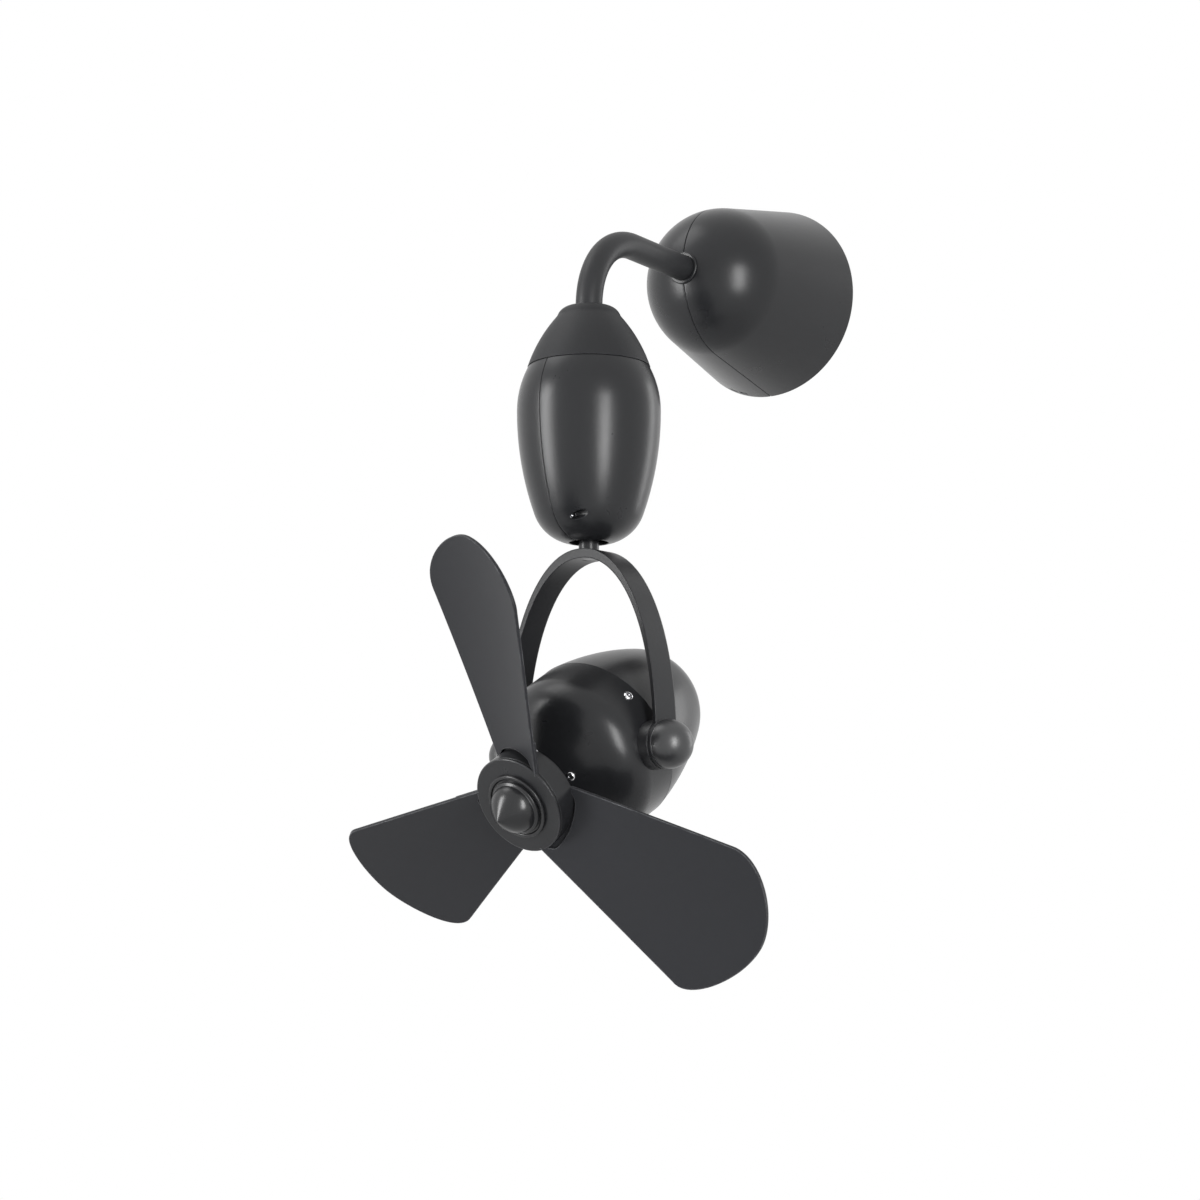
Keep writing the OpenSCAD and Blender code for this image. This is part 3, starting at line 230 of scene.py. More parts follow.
def feed(tree, socket, value):
    """Links a socket to another one, or sets it to a plain number, colour or direction."""
    if isinstance(value, bpy.types.NodeSocket):
        tree.links.new(value, socket)
    elif socket.type == "RGBA":
        socket.default_value = tuple(value)[:3] + (1.0,)
    else:
        socket.default_value = value


def put(tree, kind, inputs=(), **settings):
    """A node of that kind, with its settings, its inputs fed from a dictionary."""
    node = tree.nodes.new("ShaderNode" + kind)
    for name, value in settings.items():
        setattr(node, name, value)
    for key, value in dict(inputs).items():
        feed(tree, socket_of(node.inputs, key), value)
    return node


def maths(tree, operation, *values):
    """The result of one step of arithmetic on numbers or sockets."""
    return put(tree, "Math", dict(enumerate(values)), operation=operation).outputs[0]


def vector_maths(tree, operation, *values, output=0):
    """The result of one step of arithmetic on directions or places."""
    return put(tree, "VectorMath", dict(enumerate(values)), operation=operation).outputs[output]


def blended(tree, share, first, second):
    """A colour between two others."""
    inputs = {"Factor_Float": share, "A_Color": first, "B_Color": second}
    return socket_of(put(tree, "Mix", inputs, data_type="RGBA").outputs, "Result_Color")


def spread(tree, value, low, high, to_low=0.0, to_high=1.0, curve="LINEAR"):
    """A value taken from one range to another, and held at its ends."""
    inputs = {"Value": value, "From Min": low, "From Max": high, "To Min": to_low, "To Max": to_high}
    return put(tree, "MapRange", inputs, interpolation_type=curve).outputs["Result"]


def body_place(tree):
    """The place on the part itself, so that a finish moves with its part."""
    return put(tree, "TexCoord").outputs["Object"]


def noise(tree, scale, detail=2.0, roughness=0.5, distortion=0.0, place=None):
    """Cloudy noise between 0 and 1, with that many clouds to the metre."""
    inputs = {"Vector": place or body_place(tree), "Scale": scale, "Detail": detail,
              "Roughness": roughness, "Distortion": distortion}
    return put(tree, "TexNoise", inputs).outputs["Fac"]


def background_mask(tree):
    """1 for the rays that see the white background: those of the camera, of gloss and of glass."""
    path = put(tree, "LightPath").outputs
    seen = maths(tree, "MAXIMUM", path["Is Camera Ray"], path["Is Glossy Ray"])
    return maths(tree, "MAXIMUM", seen, path["Is Transmission Ray"])


def world():
    """White where it is seen, and a plain dim light on the fan."""
    sky = bpy.data.worlds.new("studio")
    bpy.context.scene.world = sky
    sky.use_nodes = True
    tree = sky.node_tree
    tree.nodes.clear()
    ambient = put(tree, "Background", {"Color": (1, 1, 1), "Strength": AMBIENT_LEVEL}).outputs[0]
    white = put(tree, "Background", {"Color": (1, 1, 1), "Strength": 1.0}).outputs[0]
    mix = put(tree, "MixShader", {0: background_mask(tree), 1: ambient, 2: white}).outputs[0]
    put(tree, "OutputWorld", {"Surface": mix})


def bare_material(name):
    """A new material with nothing in it, and its tree."""
    material = bpy.data.materials.new(name)
    material.use_nodes = True
    material.node_tree.nodes.clear()
    return material, material.node_tree


def floor():
    """A pale floor that keeps the fan's shadow and fades into the white background further out."""
    square = ((-1, -1), (1, -1), (1, 1), (-1, 1))
    corners = [(x * FLOOR_HALF, y * FLOOR_HALF, FLOOR_Z) for x, y in square]
    mesh = bpy.data.meshes.new("floor")
    mesh.from_pydata(corners, [], [(0, 1, 2, 3)])
    ground = into_scene("floor", mesh)
    paint, tree = bare_material("pale_floor")
    matt = put(tree, "BsdfDiffuse", {"Color": (FLOOR_TONE,) * 3}).outputs[0]
    glow = put(tree, "Emission", {"Strength": 1.0}).outputs[0]
    place = put(tree, "NewGeometry").outputs["Position"]
    under_fan = (SPIN_ORIGIN.x, SPIN_ORIGIN.y, FLOOR_Z)
    apart = vector_maths(tree, "DISTANCE", place, under_fan, output="Value")
    far = spread(tree, apart, FADE_FROM, FADE_TO, curve="SMOOTHSTEP")
    share = maths(tree, "MULTIPLY", far, background_mask(tree))
    mixed = put(tree, "MixShader", {0: share, 1: matt, 2: glow}).outputs[0]
    put(tree, "OutputMaterial", {"Surface": mixed})
    mesh.materials.append(paint)


# Kinds of socket by the number of their parts
SOCKETS = {1: "NodeSocketFloat", 3: "NodeSocketVector", 4: "NodeSocketColor"}


def new_group(name, takes, gives):
    """A shader node group. takes names its inputs with their usual values, and gives its outputs with
    their number of parts: 1 for a number, 3 for a direction and 4 for a colour."""
    group = bpy.data.node_groups.new(name, "ShaderNodeTree")
    for label, value in takes.items():
        parts = len(value) if isinstance(value, tuple) else 1
        socket = group.interface.new_socket(label, in_out="INPUT", socket_type=SOCKETS[parts])
        socket.default_value = value
    for label, parts in gives.items():
        group.interface.new_socket(label, in_out="OUTPUT", socket_type=SOCKETS[parts])
    return group, group.nodes.new("NodeGroupInput").outputs, group.nodes.new("NodeGroupOutput").inputs


def use(tree, group, values):
    """Places a group in a material with its own values, and returns its outputs."""
    node = tree.nodes.new("ShaderNodeGroup")
    node.node_tree = group
    for key, value in values.items():
        feed(tree, node.inputs[key], value)
    return node.outputs


def moulded_grain():
    """Fine spark-eroded grain of a moulding tool, with a slow swell under it."""
    takes = {"Grain": 2600.0, "Swell": 90.0, "Swell Share": 0.35}
    group, given, out = new_group("moulded grain", takes, {"Height": 1})
    fine = noise(group, given["Grain"], detail=3.0, roughness=0.6)
    slow = maths(group, "MULTIPLY", noise(group, given["Swell"], detail=1.0), given["Swell Share"])
    feed(group, out["Height"], maths(group, "ADD", fine, slow))
    return group


def powder_coat():
    """Low rounded ripple of a powder coat, with the fine tooth of its matting agent."""
    takes = {"Peel": 420.0, "Tooth": 3400.0, "Tooth Share": 0.25}
    group, given, out = new_group("powder coat", takes, {"Height": 1})
    inputs = {"Vector": body_place(group), "Scale": given["Peel"], "Smoothness": 1.0}
    peel = put(group, "TexVoronoi", inputs, feature="SMOOTH_F1").outputs["Distance"]
    tooth = maths(group, "MULTIPLY", noise(group, given["Tooth"]), given["Tooth Share"])
    feed(group, out["Height"], maths(group, "ADD", peel, tooth))
    return group


def tone_drift():
    """Colour that drifts a little from place to place, as pigment and handling leave it."""
    takes = {"Color": PLAIN, "Amount": 0.08, "Patch": 14.0}
    group, given, out = new_group("tone drift", takes, {"Color": 4})
    patches = noise(group, given["Patch"], detail=3.0, roughness=0.55, distortion=0.3)
    centred = maths(group, "SUBTRACT", patches, 0.5)
    gain = maths(group, "MULTIPLY_ADD", centred, given["Amount"], 1.0)
    tint = put(group, "VectorMath", {0: given["Color"], "Scale": gain}, operation="SCALE")
    feed(group, out["Color"], tint.outputs[0])
    return group


def gloss_drift():
    """Roughness with faint wiped and handled patches."""
    takes = {"Roughness": 0.4, "Amount": 0.08, "Patch": 35.0}
    group, given, out = new_group("gloss drift", takes, {"Roughness": 1})
    patches = noise(group, given["Patch"], detail=4.0, roughness=0.6, distortion=0.6)
    centred = maths(group, "SUBTRACT", patches, 0.5)
    gloss = maths(group, "MULTIPLY_ADD", centred, given["Amount"], given["Roughness"])
    feed(group, out["Roughness"], gloss)
    return group


def settled_dust():
    """A thin veil of dust on what faces up, broken up by noise."""
    takes = {"Color": PLAIN, "Amount": 0.06}
    group, given, out = new_group("settled dust", takes, {"Color": 4, "Cover": 1})
    normal = put(group, "NewGeometry").outputs["Normal"]
    rise = put(group, "SeparateXYZ", {0: normal}).outputs["Z"]
    facing_up = spread(group, rise, low=0.25, high=0.95)
    patches = noise(group, 160.0, detail=4.0, roughness=0.7)
    lying = maths(group, "MULTIPLY", facing_up, patches)
    cover = maths(group, "MULTIPLY", lying, given["Amount"])
    feed(group, out["Color"], blended(group, cover, given["Color"], DUST))
    feed(group, out["Cover"], cover)
    return group


def rounded_look():
    """The facing of a surface whose edges look rounded to that radius."""
    group, given, out = new_group("rounded look", {"Radius": 0.0008}, {"Normal": 3})
    rounded = put(group, "Bevel", {"Radius": given["Radius"]}, samples=ROUND_SAMPLES).outputs["Normal"]
    feed(group, out["Normal"], rounded)
    return group


def edge_rub():
    """Edges painted lighter in uneven stretches: partly rubbed wear, partly a painted highlight that
    stands for the light caught along the edges.
    """
    takes = {"Color": PLAIN, "Rubbed And Sheen": (0.6, 0.6, 0.6, 1.0), "Amount": 0.5, "Width": 0.0006}
    group, given, out = new_group("edge rub and sheen", takes, {"Color": 4, "Rub And Sheen": 1})
    rounded = put(group, "Bevel", {"Radius": given["Width"]}, samples=RUB_SAMPLES).outputs["Normal"]
    normal = put(group, "NewGeometry").outputs["Normal"]
    along = vector_maths(group, "DOT_PRODUCT", rounded, normal, output="Value")
    sharp = spread(group, along, low=0.995, high=0.9)
    patches = noise(group, 70.0, detail=4.0, roughness=0.65)
    uneven = spread(group, patches, low=0.3, high=0.6)
    rub = maths(group, "MULTIPLY", maths(group, "MULTIPLY", sharp, uneven), given["Amount"])
    feed(group, out["Color"], blended(group, rub, given["Color"], given["Rubbed And Sheen"]))
    feed(group, out["Rub And Sheen"], rub)
    return group


def drawn_marks():
    """Fine streaks that run along one direction of the part, as grinding and drawing leave them."""
    takes = {"Stretch": (900.0, 900.0, 30.0), "Roughness": 0.3, "Spread": 0.15}
    group, given, out = new_group("drawn marks", takes, {"Height": 1, "Roughness": 1})
    place = vector_maths(group, "MULTIPLY", body_place(group), given["Stretch"])
    streak = noise(group, 1.0, detail=5.0, roughness=0.7, place=place)
    feed(group, out["Height"], streak)
    gloss = maths(group, "MULTIPLY_ADD", streak, given["Spread"], given["Roughness"])
    feed(group, out["Roughness"], gloss)
    return group


def turned_rings():
    """Rings round an axis, as a lathe tool or a stack of rings leaves them."""
    takes = {"Axis": (0.0, 0.0, 1.0), "Origin": (0.0, 0.0, 0.0), "Rings Per Metre": 3000.0}
    group, given, out = new_group("turned rings", takes, {"Height": 1})
    apart = vector_maths(group, "SUBTRACT", body_place(group), given["Origin"])
    across = vector_maths(group, "CROSS_PRODUCT", apart, given["Axis"])
    radius = vector_maths(group, "LENGTH", across, output="Value")
    turns = maths(group, "MULTIPLY", radius, given["Rings Per Metre"])
    wobble = maths(group, "MULTIPLY_ADD", noise(group, 40.0, detail=3.0), 2.0, turns)
    feed(group, out["Height"], maths(group, "SINE", maths(group, "MULTIPLY", wobble, math.tau)))
    return group


def stacked_layers():
    """Edges of thin sheets stacked along an axis, each a little lighter or darker than the next."""
    takes = {"Axis": (0.0, 0.0, 1.0), "Layers Per Metre": 2000.0, "Light": PLAIN,
             "Dark": (0.2, 0.2, 0.2, 1.0)}
    group, given, out = new_group("stacked layers", takes, {"Color": 4, "Height": 1})
    along = vector_maths(group, "DOT_PRODUCT", body_place(group), given["Axis"], output="Value")
    count = maths(group, "MULTIPLY", along, given["Layers Per Metre"])
    within = maths(group, "FRACT", count)
    groove = maths(group, "ABSOLUTE", maths(group, "SUBTRACT", within, 0.5))
    number = {"W": maths(group, "FLOOR", count)}
    sheet = put(group, "TexWhiteNoise", number, noise_dimensions="1D").outputs["Value"]
    feed(group, out["Color"], blended(group, sheet, given["Dark"], given["Light"]))
    feed(group, out["Height"], spread(group, groove, low=0.5, high=0.35))
    return group


GROUP_MAKERS = (moulded_grain, powder_coat, tone_drift, gloss_drift, settled_dust, rounded_look,
                edge_rub, drawn_marks, turned_rings, stacked_layers)
GROUPS = {make.__name__: make() for make in GROUP_MAKERS}


def surface(name, **sockets):
    """A material with one Principled shader, whose plain values are set on its own sockets."""
    material, tree = bare_material(name)
    shader = put(tree, "BsdfPrincipled", sockets)
    put(tree, "OutputMaterial", {"Surface": shader.outputs[0]})
    return material, tree, shader.inputs


def raise_up(tree, shader, height, depth, edge=0.0):
    """Raises the surface by that height and depth, over edges that look rounded to the radius edge.
    Both are in millimetres."""
    inputs = {"Height": height, "Distance": depth * MM, "Strength": 1.0}
    if edge:
        inputs["Normal"] = use(tree, GROUPS["rounded_look"], {"Radius": edge * MM})["Normal"]
    feed(tree, shader["Normal"], put(tree, "Bump", inputs).outputs[0])


def charcoal(name, tone, grain, roughness, ior, dust=0.03, rub=0.6, rub_and_sheen_width=0.6, depth=0.03,
             edge=0.0):
    """The dark finish that the whole outside shares, over the texture that grain makes. Its edges are
    painted lighter over the given width, partly as rubbed wear and partly as a painted highlight, and
    look rounded to the radius edge, all in millimetres."""
    material, tree, shader = surface(name, IOR=ior)
    drift = use(tree, GROUPS["tone_drift"], {"Color": tone, "Amount": 0.08})["Color"]
    # The edges are painted lighter here: partly rubbed wear, partly a painted highlight along them
    wear_and_sheen = {"Color": drift, "Rubbed And Sheen": BARE_EDGE_AND_SHEEN, "Amount": rub, "Width": rub_and_sheen_width * MM}
    worn_and_sheen = use(tree, GROUPS["edge_rub"], wear_and_sheen)["Color"]
    dusty = use(tree, GROUPS["settled_dust"], {"Color": worn_and_sheen, "Amount": dust})
    gloss = use(tree, GROUPS["gloss_drift"], {"Roughness": roughness, "Amount": 0.04})["Roughness"]
    feed(tree, shader["Base Color"], dusty["Color"])
    feed(tree, shader["Roughness"], maths(tree, "ADD", gloss, dusty["Cover"]))
    raise_up(tree, shader, grain(tree), depth, edge=edge)
    return material


def fine_grain(tree):
    """Grain of the moulded housings."""
    return use(tree, GROUPS["moulded_grain"], {"Grain": 2600.0})["Height"]


def blade_grain(tree):
    """Coarser grain with more swell, as the blades have it."""
    values = {"Grain": 1900.0, "Swell": 60.0, "Swell Share": 0.5}
    return use(tree, GROUPS["moulded_grain"], values)["Height"]


def coat_peel(tree):
    """Ripple of the painted parts."""
    return use(tree, GROUPS["powder_coat"], {})["Height"]


def lathe_grain(tree):
    """Moulded grain with faint rings round the motor's axis."""
    values = {"Axis": tuple(SPIN_AXIS), "Origin": tuple(SPIN_ORIGIN)}
    rings = use(tree, GROUPS["turned_rings"], values)["Height"]
    return maths(tree, "MULTIPLY_ADD", rings, 0.1, use(tree, GROUPS["moulded_grain"], {})["Height"])


def steel(name, tone, roughness, stretch=(900.0, 900.0, 40.0), uneven=0.16):
    """Bare or plated metal with fine working marks, whose roughness is uneven by that much."""
    material, tree, shader = surface(name, Metallic=1.0)
    drift = use(tree, GROUPS["tone_drift"], {"Color": tone, "Amount": 0.1, "Patch": 60.0})["Color"]
    values = {"Stretch": stretch, "Roughness": roughness, "Spread": uneven}
    marks = use(tree, GROUPS["drawn_marks"], values)
    feed(tree, shader["Base Color"], drift)
    feed(tree, shader["Roughness"], marks["Roughness"])
    raise_up(tree, shader, marks["Height"], 0.01)
    return material


def cast_metal(name):
    """Aluminium as it comes out of the sand."""
    material, tree, shader = surface(name, Metallic=1.0)
    drift = use(tree, GROUPS["tone_drift"], {"Color": CAST_GREY, "Amount": 0.25, "Patch": 90.0})
    gloss = use(tree, GROUPS["gloss_drift"], {"Roughness": 0.5, "Amount": 0.2, "Patch": 120.0})
    feed(tree, shader["Base Color"], drift["Color"])
    feed(tree, shader["Roughness"], gloss["Roughness"])
    sand = use(tree, GROUPS["powder_coat"], {"Peel": 900.0, "Tooth": 2600.0, "Tooth Share": 0.5})
    raise_up(tree, shader, sand["Height"], 0.08)
    return material


def laminations(name):
    """The edges of the stacked steel sheets of a motor's core."""
    material, tree, shader = surface(name, Metallic=1.0)
    values = {"Axis": tuple(SPIN_AXIS), "Light": SHEET_LIGHT, "Dark": SHEET_DARK}
    layers = use(tree, GROUPS["stacked_layers"], values)
    gloss = use(tree, GROUPS["gloss_drift"], {"Roughness": 0.42, "Amount": 0.15})
    feed(tree, shader["Base Color"], layers["Color"])
    feed(tree, shader["Roughness"], gloss["Roughness"])
    raise_up(tree, shader, layers["Height"], 0.15)
    return material


def copper(name):
    """Turns of enamelled wire."""
    material, tree, shader = surface(name, Metallic=0.85)
    values = {"Axis": tuple(SPIN_AXIS), "Layers Per Metre": 2200.0, "Light": COPPER_LIGHT,
              "Dark": COPPER_DARK}
    turns = use(tree, GROUPS["stacked_layers"], values)
    gloss = use(tree, GROUPS["gloss_drift"], {"Roughness": 0.28, "Amount": 0.12})
    feed(tree, shader["Base Color"], turns["Color"])
    feed(tree, shader["Roughness"], gloss["Roughness"])
    raise_up(tree, shader, turns["Height"], 0.3)
    return material


def nylon(name):
    """Natural nylon of the gears and the terminal block."""
    material, tree, shader = surface(name)
    drift = use(tree, GROUPS["tone_drift"], {"Color": NYLON_CREAM, "Amount": 0.08, "Patch": 40.0})
    gloss = use(tree, GROUPS["gloss_drift"], {"Roughness": 0.42, "Amount": 0.1})
    feed(tree, shader["Base Color"], drift["Color"])
    feed(tree, shader["Roughness"], gloss["Roughness"])
    raise_up(tree, shader, fine_grain(tree), 0.02)
    return material


# In the charcoal finishes below, the edges are painted lighter, partly as rubbed wear and partly as a
# painted highlight; the blades, the nose and the disc have it at full strength
MATERIALS = {
    "charcoal_plastic": charcoal("charcoal_plastic", CHARCOAL, fine_grain, roughness=0.28, ior=1.4,
                                 rub=0.15),
    "charcoal_paint": charcoal("charcoal_paint", CHARCOAL, coat_peel, roughness=0.28, ior=1.4, rub=0.4),
    "charcoal_blade": charcoal("charcoal_blade", CHARCOAL_BLADE, blade_grain, roughness=0.42, ior=1.2,
                               rub=1.0, rub_and_sheen_width=1.4, edge=1.1),
    "charcoal_gloss": charcoal("charcoal_gloss", CHARCOAL_GLOSS, lathe_grain, roughness=0.25, ior=1.5,
                               rub=1.0, depth=0.01, edge=0.5),
    "zinc_steel": steel("zinc_steel", ZINC, roughness=0.24),
    "ground_steel": steel("ground_steel", GROUND_STEEL, roughness=0.2, stretch=(1600.0, 1600.0, 60.0)),
    "bright_screws": steel("bright_screws", NICKEL, roughness=0.12, stretch=(700.0, 700.0, 700.0),
                           uneven=0.08),
    "cast_alloy": cast_metal("cast_alloy"),
    "lamination_steel": laminations("lamination_steel"),
    "copper_winding": copper("copper_winding"),
    "white_nylon": nylon("white_nylon"),
    "black_plastic": charcoal("black_plastic", CASE_BLACK, fine_grain, roughness=0.3, ior=1.45,
                              dust=0.02),
}
SLOTS = {part["node"]: part["material_slot"] for part in frame["record"]["subparts"]}

# Parts whose finish is duller or brighter than the rest of their kind
DULL_PLASTIC = charcoal("dull_charcoal_plastic", CHARCOAL, fine_grain, roughness=0.52, ior=1.35,
                        rub=0.3)
DULL_PAINT = charcoal("dull_charcoal_paint", CHARCOAL, coat_peel, roughness=0.46, ior=1.4, rub=0.5)
STRAP_PAINT = charcoal("charcoal_strap", CHARCOAL, coat_peel, roughness=0.34, ior=1.35, rub=0.6,
                       edge=1.4)
# The disc's rim is painted lighter at full strength, as much a painted highlight along its edge as wear
DISC_PAINT = charcoal("charcoal_disc", CHARCOAL, coat_peel, roughness=0.28, ior=1.4, rub=1.0,
                      rub_and_sheen_width=1.0, edge=0.8)
KNOB_PLASTIC = charcoal("charcoal_knob", CHARCOAL, fine_grain, roughness=0.36, ior=1.7, rub=0.0)
OWN_FINISH = {
    "gearbox_cap": DULL_PLASTIC, "arm_tube": DULL_PAINT, "yoke": STRAP_PAINT, "hub_plate": DISC_PAINT,
    "pivot_caps": KNOB_PLASTIC, "pivot_spacers": KNOB_PLASTIC,
}


def soften(node, radius, clamped=True):
    """Joins a part's loose faces and drops the flat ones' inner lines, before its edges are rounded."""
    weld = node.modifiers.new("weld", "WELD")
    weld.merge_threshold = WELD_GAP
    flat = node.modifiers.new("flat", "DECIMATE")
    flat.decimate_type = "DISSOLVE"
    flat.angle_limit = FLAT_ANGLE
    round_edges(node, radius, clamped)


def round_edges(node, radius, clamped=True):
    """Rounds the edges, so that they catch the light, and smooths the shading of the faces."""
    bevel = node.modifiers.new("edges", "BEVEL")
    bevel.width = radius * MM
    bevel.segments = EDGE_SEGMENTS
    bevel.limit_method = "ANGLE"
    bevel.angle_limit = EDGE_ANGLE
    bevel.use_clamp_overlap = clamped
    shade = node.modifiers.new("shade", "WEIGHTED_NORMAL")
    shade.mode = "FACE_AREA"
    shade.weight = FACE_WEIGHT
    shade.keep_sharp = False


def motor_frame():
    """Where the motor stands: x along the tilt axis, z out along the motor's axis, from the pivot."""
    up = SPIN_AXIS.cross(TILT_AXIS)
    turned = Matrix((TILT_AXIS, up, SPIN_AXIS)).transposed().to_4x4()
    return Matrix.Translation(SPIN_ORIGIN) @ turned


def blade_frame(turn):
    """Where a blade stands, that far round the motor's axis."""
    round_motor = Matrix.Rotation(math.radians(turn), 4, "Z")
    pitched = Matrix.Rotation(math.radians(-BLADE_PITCH), 4, "X")
    return motor_frame() @ round_motor @ Matrix.Translation((0, 0, BLADE_PLACE * MM)) @ pitched


def line(start, end, count):
    """Points along a straight line."""
    return [Vector(start).lerp(Vector(end), i / count) for i in range(count + 1)]


def bend(start, pulls, end, count):
    """Points along a cubic curve with two pull points."""
    corners = [Vector(corner) for corner in (start, *pulls, end)]
    points = []
    for i in range(count + 1):
        t = i / count
        shares = ((1 - t) ** 3, 3 * t * (1 - t) ** 2, 3 * t * t * (1 - t), t ** 3)
        pulled = (corner * share for corner, share in zip(corners, shares))
        points.append(sum(pulled, Vector((0, 0))))
    return points


def evenly(path, count):
    """The path again, with its points evenly spaced."""
    lengths = [0.0]
    for a, b in zip(path, path[1:]):
        lengths.append(lengths[-1] + (b - a).length)
    points, k = [], 0
    for i in range(count + 1):
        at = lengths[-1] * i / count
        while k < len(path) - 2 and lengths[k + 1] < at:
            k += 1
        points.append(path[k].lerp(path[k + 1], (at - lengths[k]) / (lengths[k + 1] - lengths[k])))
    return points


def patch(low, high, root, tip):
    """A grid of points that fills the outline made by four edges: low and high run outwards from the
    root, and root and tip run from the low edge to the high one."""
    rows = []
    for i, (a, b) in enumerate(zip(low, high)):
        u = i / (len(low) - 1)
        row = []
        for j, (c, d) in enumerate(zip(root, tip)):
            v = j / (len(root) - 1)
            root_chord = root[0] * (1 - v) + root[-1] * v
            tip_chord = tip[0] * (1 - v) + tip[-1] * v
            corners = root_chord * (1 - u) + tip_chord * u
            row.append(a * (1 - v) + b * v + c * (1 - u) + d * u - corners)
        rows.append(row)
    return rows


def hollow_edge(across):
    """How far out the blade's hollow root edge lies at a place across the blade."""
    return HOLLOW_AT[0] + math.sqrt(HOLLOW_RADIUS ** 2 - (across - HOLLOW_AT[1]) ** 2)


def barrel_edge(across):
    """How far out the blade starts at a place across it, a little inside the hub's barrel."""
    off_axis = across * math.cos(math.radians(BLADE_PITCH))
    return math.sqrt((HUB_RADIUS - ROOT_BITE) ** 2 - off_axis ** 2)


def paddle_edge(across):
    """The paddle's root edge: hollow in the middle, and drawn in to the hub's barrel at both sides."""
    share = (abs(across - ROOT_MIDDLE) - ROOT_OPEN) / (ROOT_CLOSED - ROOT_OPEN)
    share = min(1.0, max(0.0, share))
    share *= share * (3 - 2 * share)
    return hollow_edge(across) * (1 - share) + barrel_edge(across) * share


def on_edge(start, end, reach):
    """The point of a straight edge at that reach."""
    return Vector(start).lerp(Vector(end), (reach - start[0]) / (end[0] - start[0]))


def root_corner(start, end):
    """Where a straight side of the blade meets the hub's barrel."""
    reach = ROOT_GUESS
    for _ in range(ROOT_TRIES):
        reach = barrel_edge(on_edge(start, end, reach).y)
    return on_edge(start, end, reach)


def sheet_mesh(name, rows, thickness, behind):
    """A curved sheet of that thickness over a grid of points, that far behind the blade's middle."""
    form = bmesh.new()
    grid = []
    for row in rows:
        heights = [(point.y - BLADE_TROUGH) ** 2 / (2 * BLADE_BEND) - behind for point in row]
        grid.append([form.verts.new((p.x * MM, p.y * MM, z * MM)) for p, z in zip(row, heights)])
    for a, b in zip(grid, grid[1:]):
        for j in range(len(a) - 1):
            form.faces.new((a[j], b[j], b[j + 1], a[j + 1]))
    bmesh.ops.recalc_face_normals(form, faces=form.faces[:])
    for face in form.faces:
        face.smooth = True
    mesh = bpy.data.meshes.new(name)
    form.to_mesh(mesh)
    form.free()
    piece = into_scene(name, mesh)
    skin = piece.modifiers.new("thickness", "SOLIDIFY")
    skin.thickness = thickness * MM
    skin.offset = 0.0
    round_edges(piece, SHEET_EDGE_SHARE * thickness)
    return piece


def blade_side(start, end, tip_curve, count):
    """One side of the paddle: straight, then the first stretch of the tip's curve."""
    straight = line(root_corner(start, end), end, SIDE_STEPS)
    return evenly(straight + tip_curve[1:TIP_SIDE_STEPS + 1], count)


def root_edge(low_corner, high_corner, edge, count):
    """The curved edge at the root of a sheet, from one corner to the other."""
    chord = line(low_corner, high_corner, 2 * count)
    return evenly([Vector((edge(point.y), point.y)) for point in chord], count)


def blade_sheet(name):
    """The paddle: straight sides, a round end and a hollow edge round the hub."""
    along, across = PADDLE_GRID
    low_tip = bend(LOW_END, LOW_PULLS, TIP, TIP_STEPS)
    high_tip = bend(HIGH_END, HIGH_PULLS, TIP, TIP_STEPS)
    low = blade_side(LOW_ROOT, LOW_END, low_tip, along)
    high = blade_side(HIGH_ROOT, HIGH_END, high_tip, along)
    back_from_tip = high_tip[TIP_SIDE_STEPS:-1][::-1]
    tip = evenly(low_tip[TIP_SIDE_STEPS:] + back_from_tip, across)
    root = root_edge(low[0], high[0], paddle_edge, across)
    return sheet_mesh(name, patch(low, high, root, tip), BLADE_THICK, 0.0)


def blade_pad(name):
    """The root plate behind the paddle and bent like it, which closes its hollow edge and meets the
    hub's barrel."""
    along, across = PAD_GRID
    inset = Vector((0, PAD_INSET))
    low_side = Vector(LOW_ROOT) + inset, Vector(LOW_END) + inset
    high_side = Vector(HIGH_ROOT) - inset, Vector(HIGH_END) - inset
    low_outer, high_outer = on_edge(*low_side, PAD_REACH), on_edge(*high_side, PAD_REACH)
    low = line(root_corner(*low_side), low_outer, along)
    high = line(root_corner(*high_side), high_outer, along)
    root = root_edge(low[0], high[0], barrel_edge, across)
    rows = patch(low, high, root, line(low_outer, high_outer, across))
    return sheet_mesh(name, rows, PAD_THICK, (BLADE_THICK + PAD_THICK) / 2)


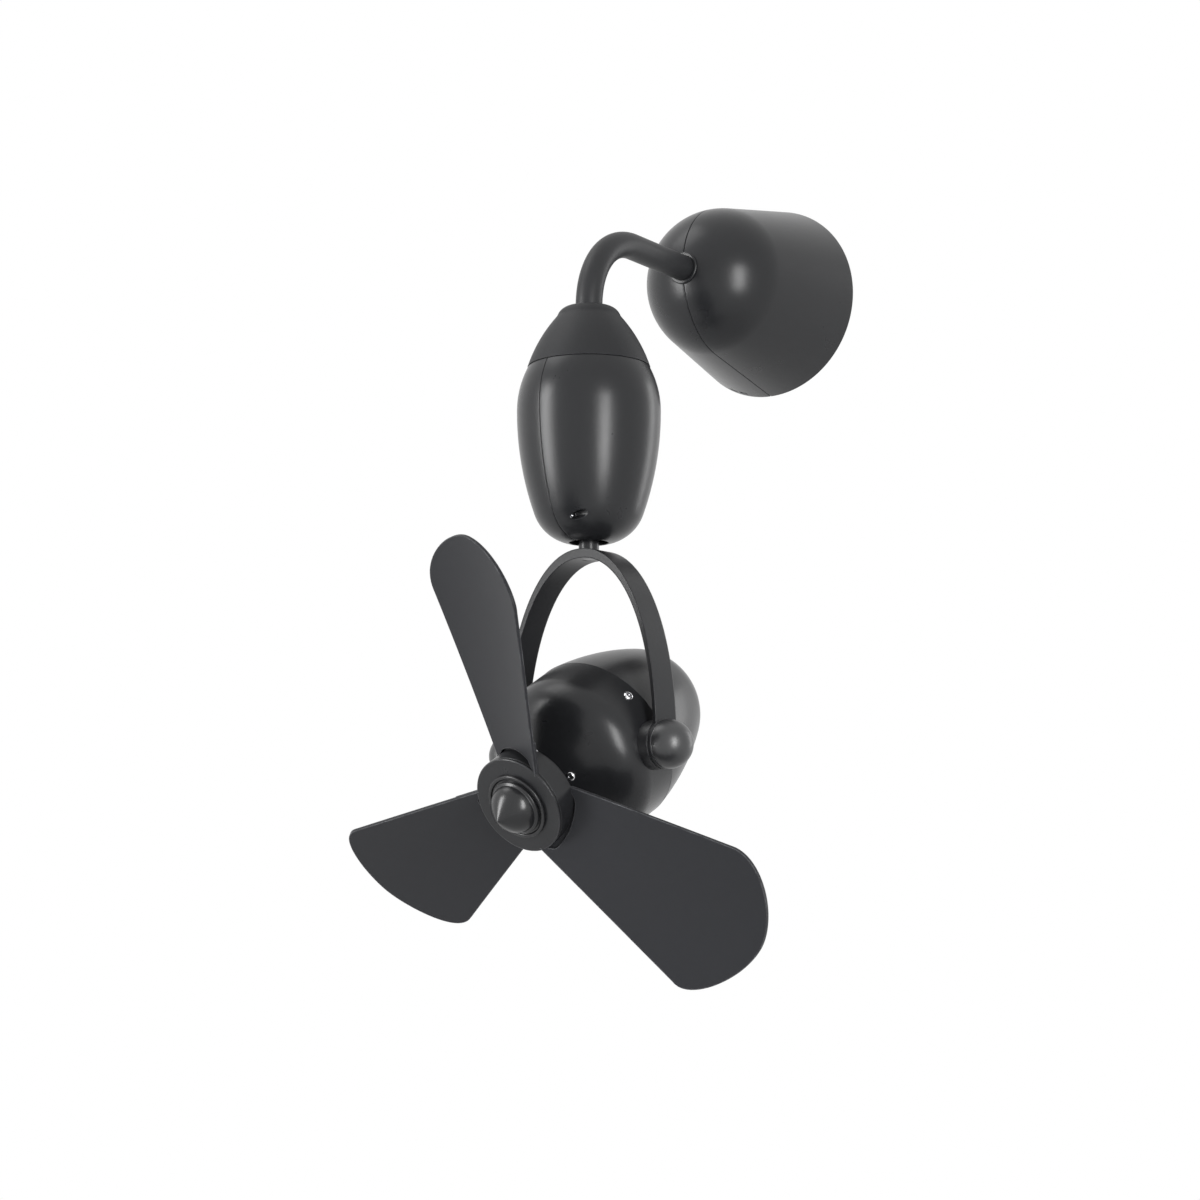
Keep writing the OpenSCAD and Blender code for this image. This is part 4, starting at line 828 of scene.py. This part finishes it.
def lathe(name, profile):
    """A closed profile of radius and height turned about the motor's axis."""
    form = bmesh.new()
    rings = []
    for i in range(LATHE_STEPS):
        turn = math.tau * i / LATHE_STEPS
        x, y = math.cos(turn) * MM, math.sin(turn) * MM
        rings.append([form.verts.new((r * x, r * y, h * MM)) for r, h in profile])
    for a, b in zip(rings, rings[1:] + rings[:1]):
        for j in range(len(profile)):
            k = (j + 1) % len(profile)
            form.faces.new((a[j], b[j], b[k], a[k]))
    bmesh.ops.recalc_face_normals(form, faces=form.faces[:])
    for face in form.faces:
        face.smooth = True
    mesh = bpy.data.meshes.new(name)
    form.to_mesh(mesh)
    form.free()
    return into_scene(name, mesh)


def hub_cup():
    """The hub's cup: barrel, back web and boss on the shaft."""
    inner = HUB_RADIUS - HUB_WALL
    web = HUB_BACK + HUB_WEB
    return lathe("hub_cup", [
        (HUB_BORE, HUB_BACK), (HUB_RADIUS - HUB_CHAMFER, HUB_BACK),
        (HUB_RADIUS, HUB_BACK + HUB_CHAMFER), (HUB_RADIUS, HUB_RIM), (inner, HUB_RIM), (inner, web),
        (HUB_BOSS, web), (HUB_BOSS, HUB_RIM), (HUB_BORE, HUB_RIM)])


def finish_piece(piece, node, slot, place):
    """Puts a piece in its place on the motor's shaft, instead of a node of the frame."""
    piece.data.transform(place)
    piece.data.materials.append(MATERIALS[slot])
    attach(piece, "spin")
    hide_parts(node)


def blades_and_hub():
    """The hub's cup and the blades, each a paddle with its root plate."""
    cup = hub_cup()
    round_edges(cup, HUB_EDGE)
    finish_piece(cup, "hub", "charcoal_paint", motor_frame())
    for i in range(BLADE_COUNT):
        place = blade_frame(BLADE_TURN + i * 360 / BLADE_COUNT)
        for piece in (blade_sheet(f"blade_{i + 1}_paddle"), blade_pad(f"blade_{i + 1}_root_plate")):
            finish_piece(piece, f"blade_{i + 1}", "charcoal_blade", place)


def dress_nodes():
    """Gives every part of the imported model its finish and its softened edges."""
    for name, node in NODES.items():
        material = OWN_FINISH.get(name, MATERIALS[SLOTS[name]])
        if not node.data.materials:
            node.data.materials.append(material)
        for place in node.material_slots:
            place.material = material
        soften(node, EDGES.get(name, USUAL_EDGE), name not in SPLIT_SHELLS)


camera()
world()
lights()
floor()
dress_nodes()
blades_and_hub()

bpy.context.scene.view_settings.view_transform = "Standard"
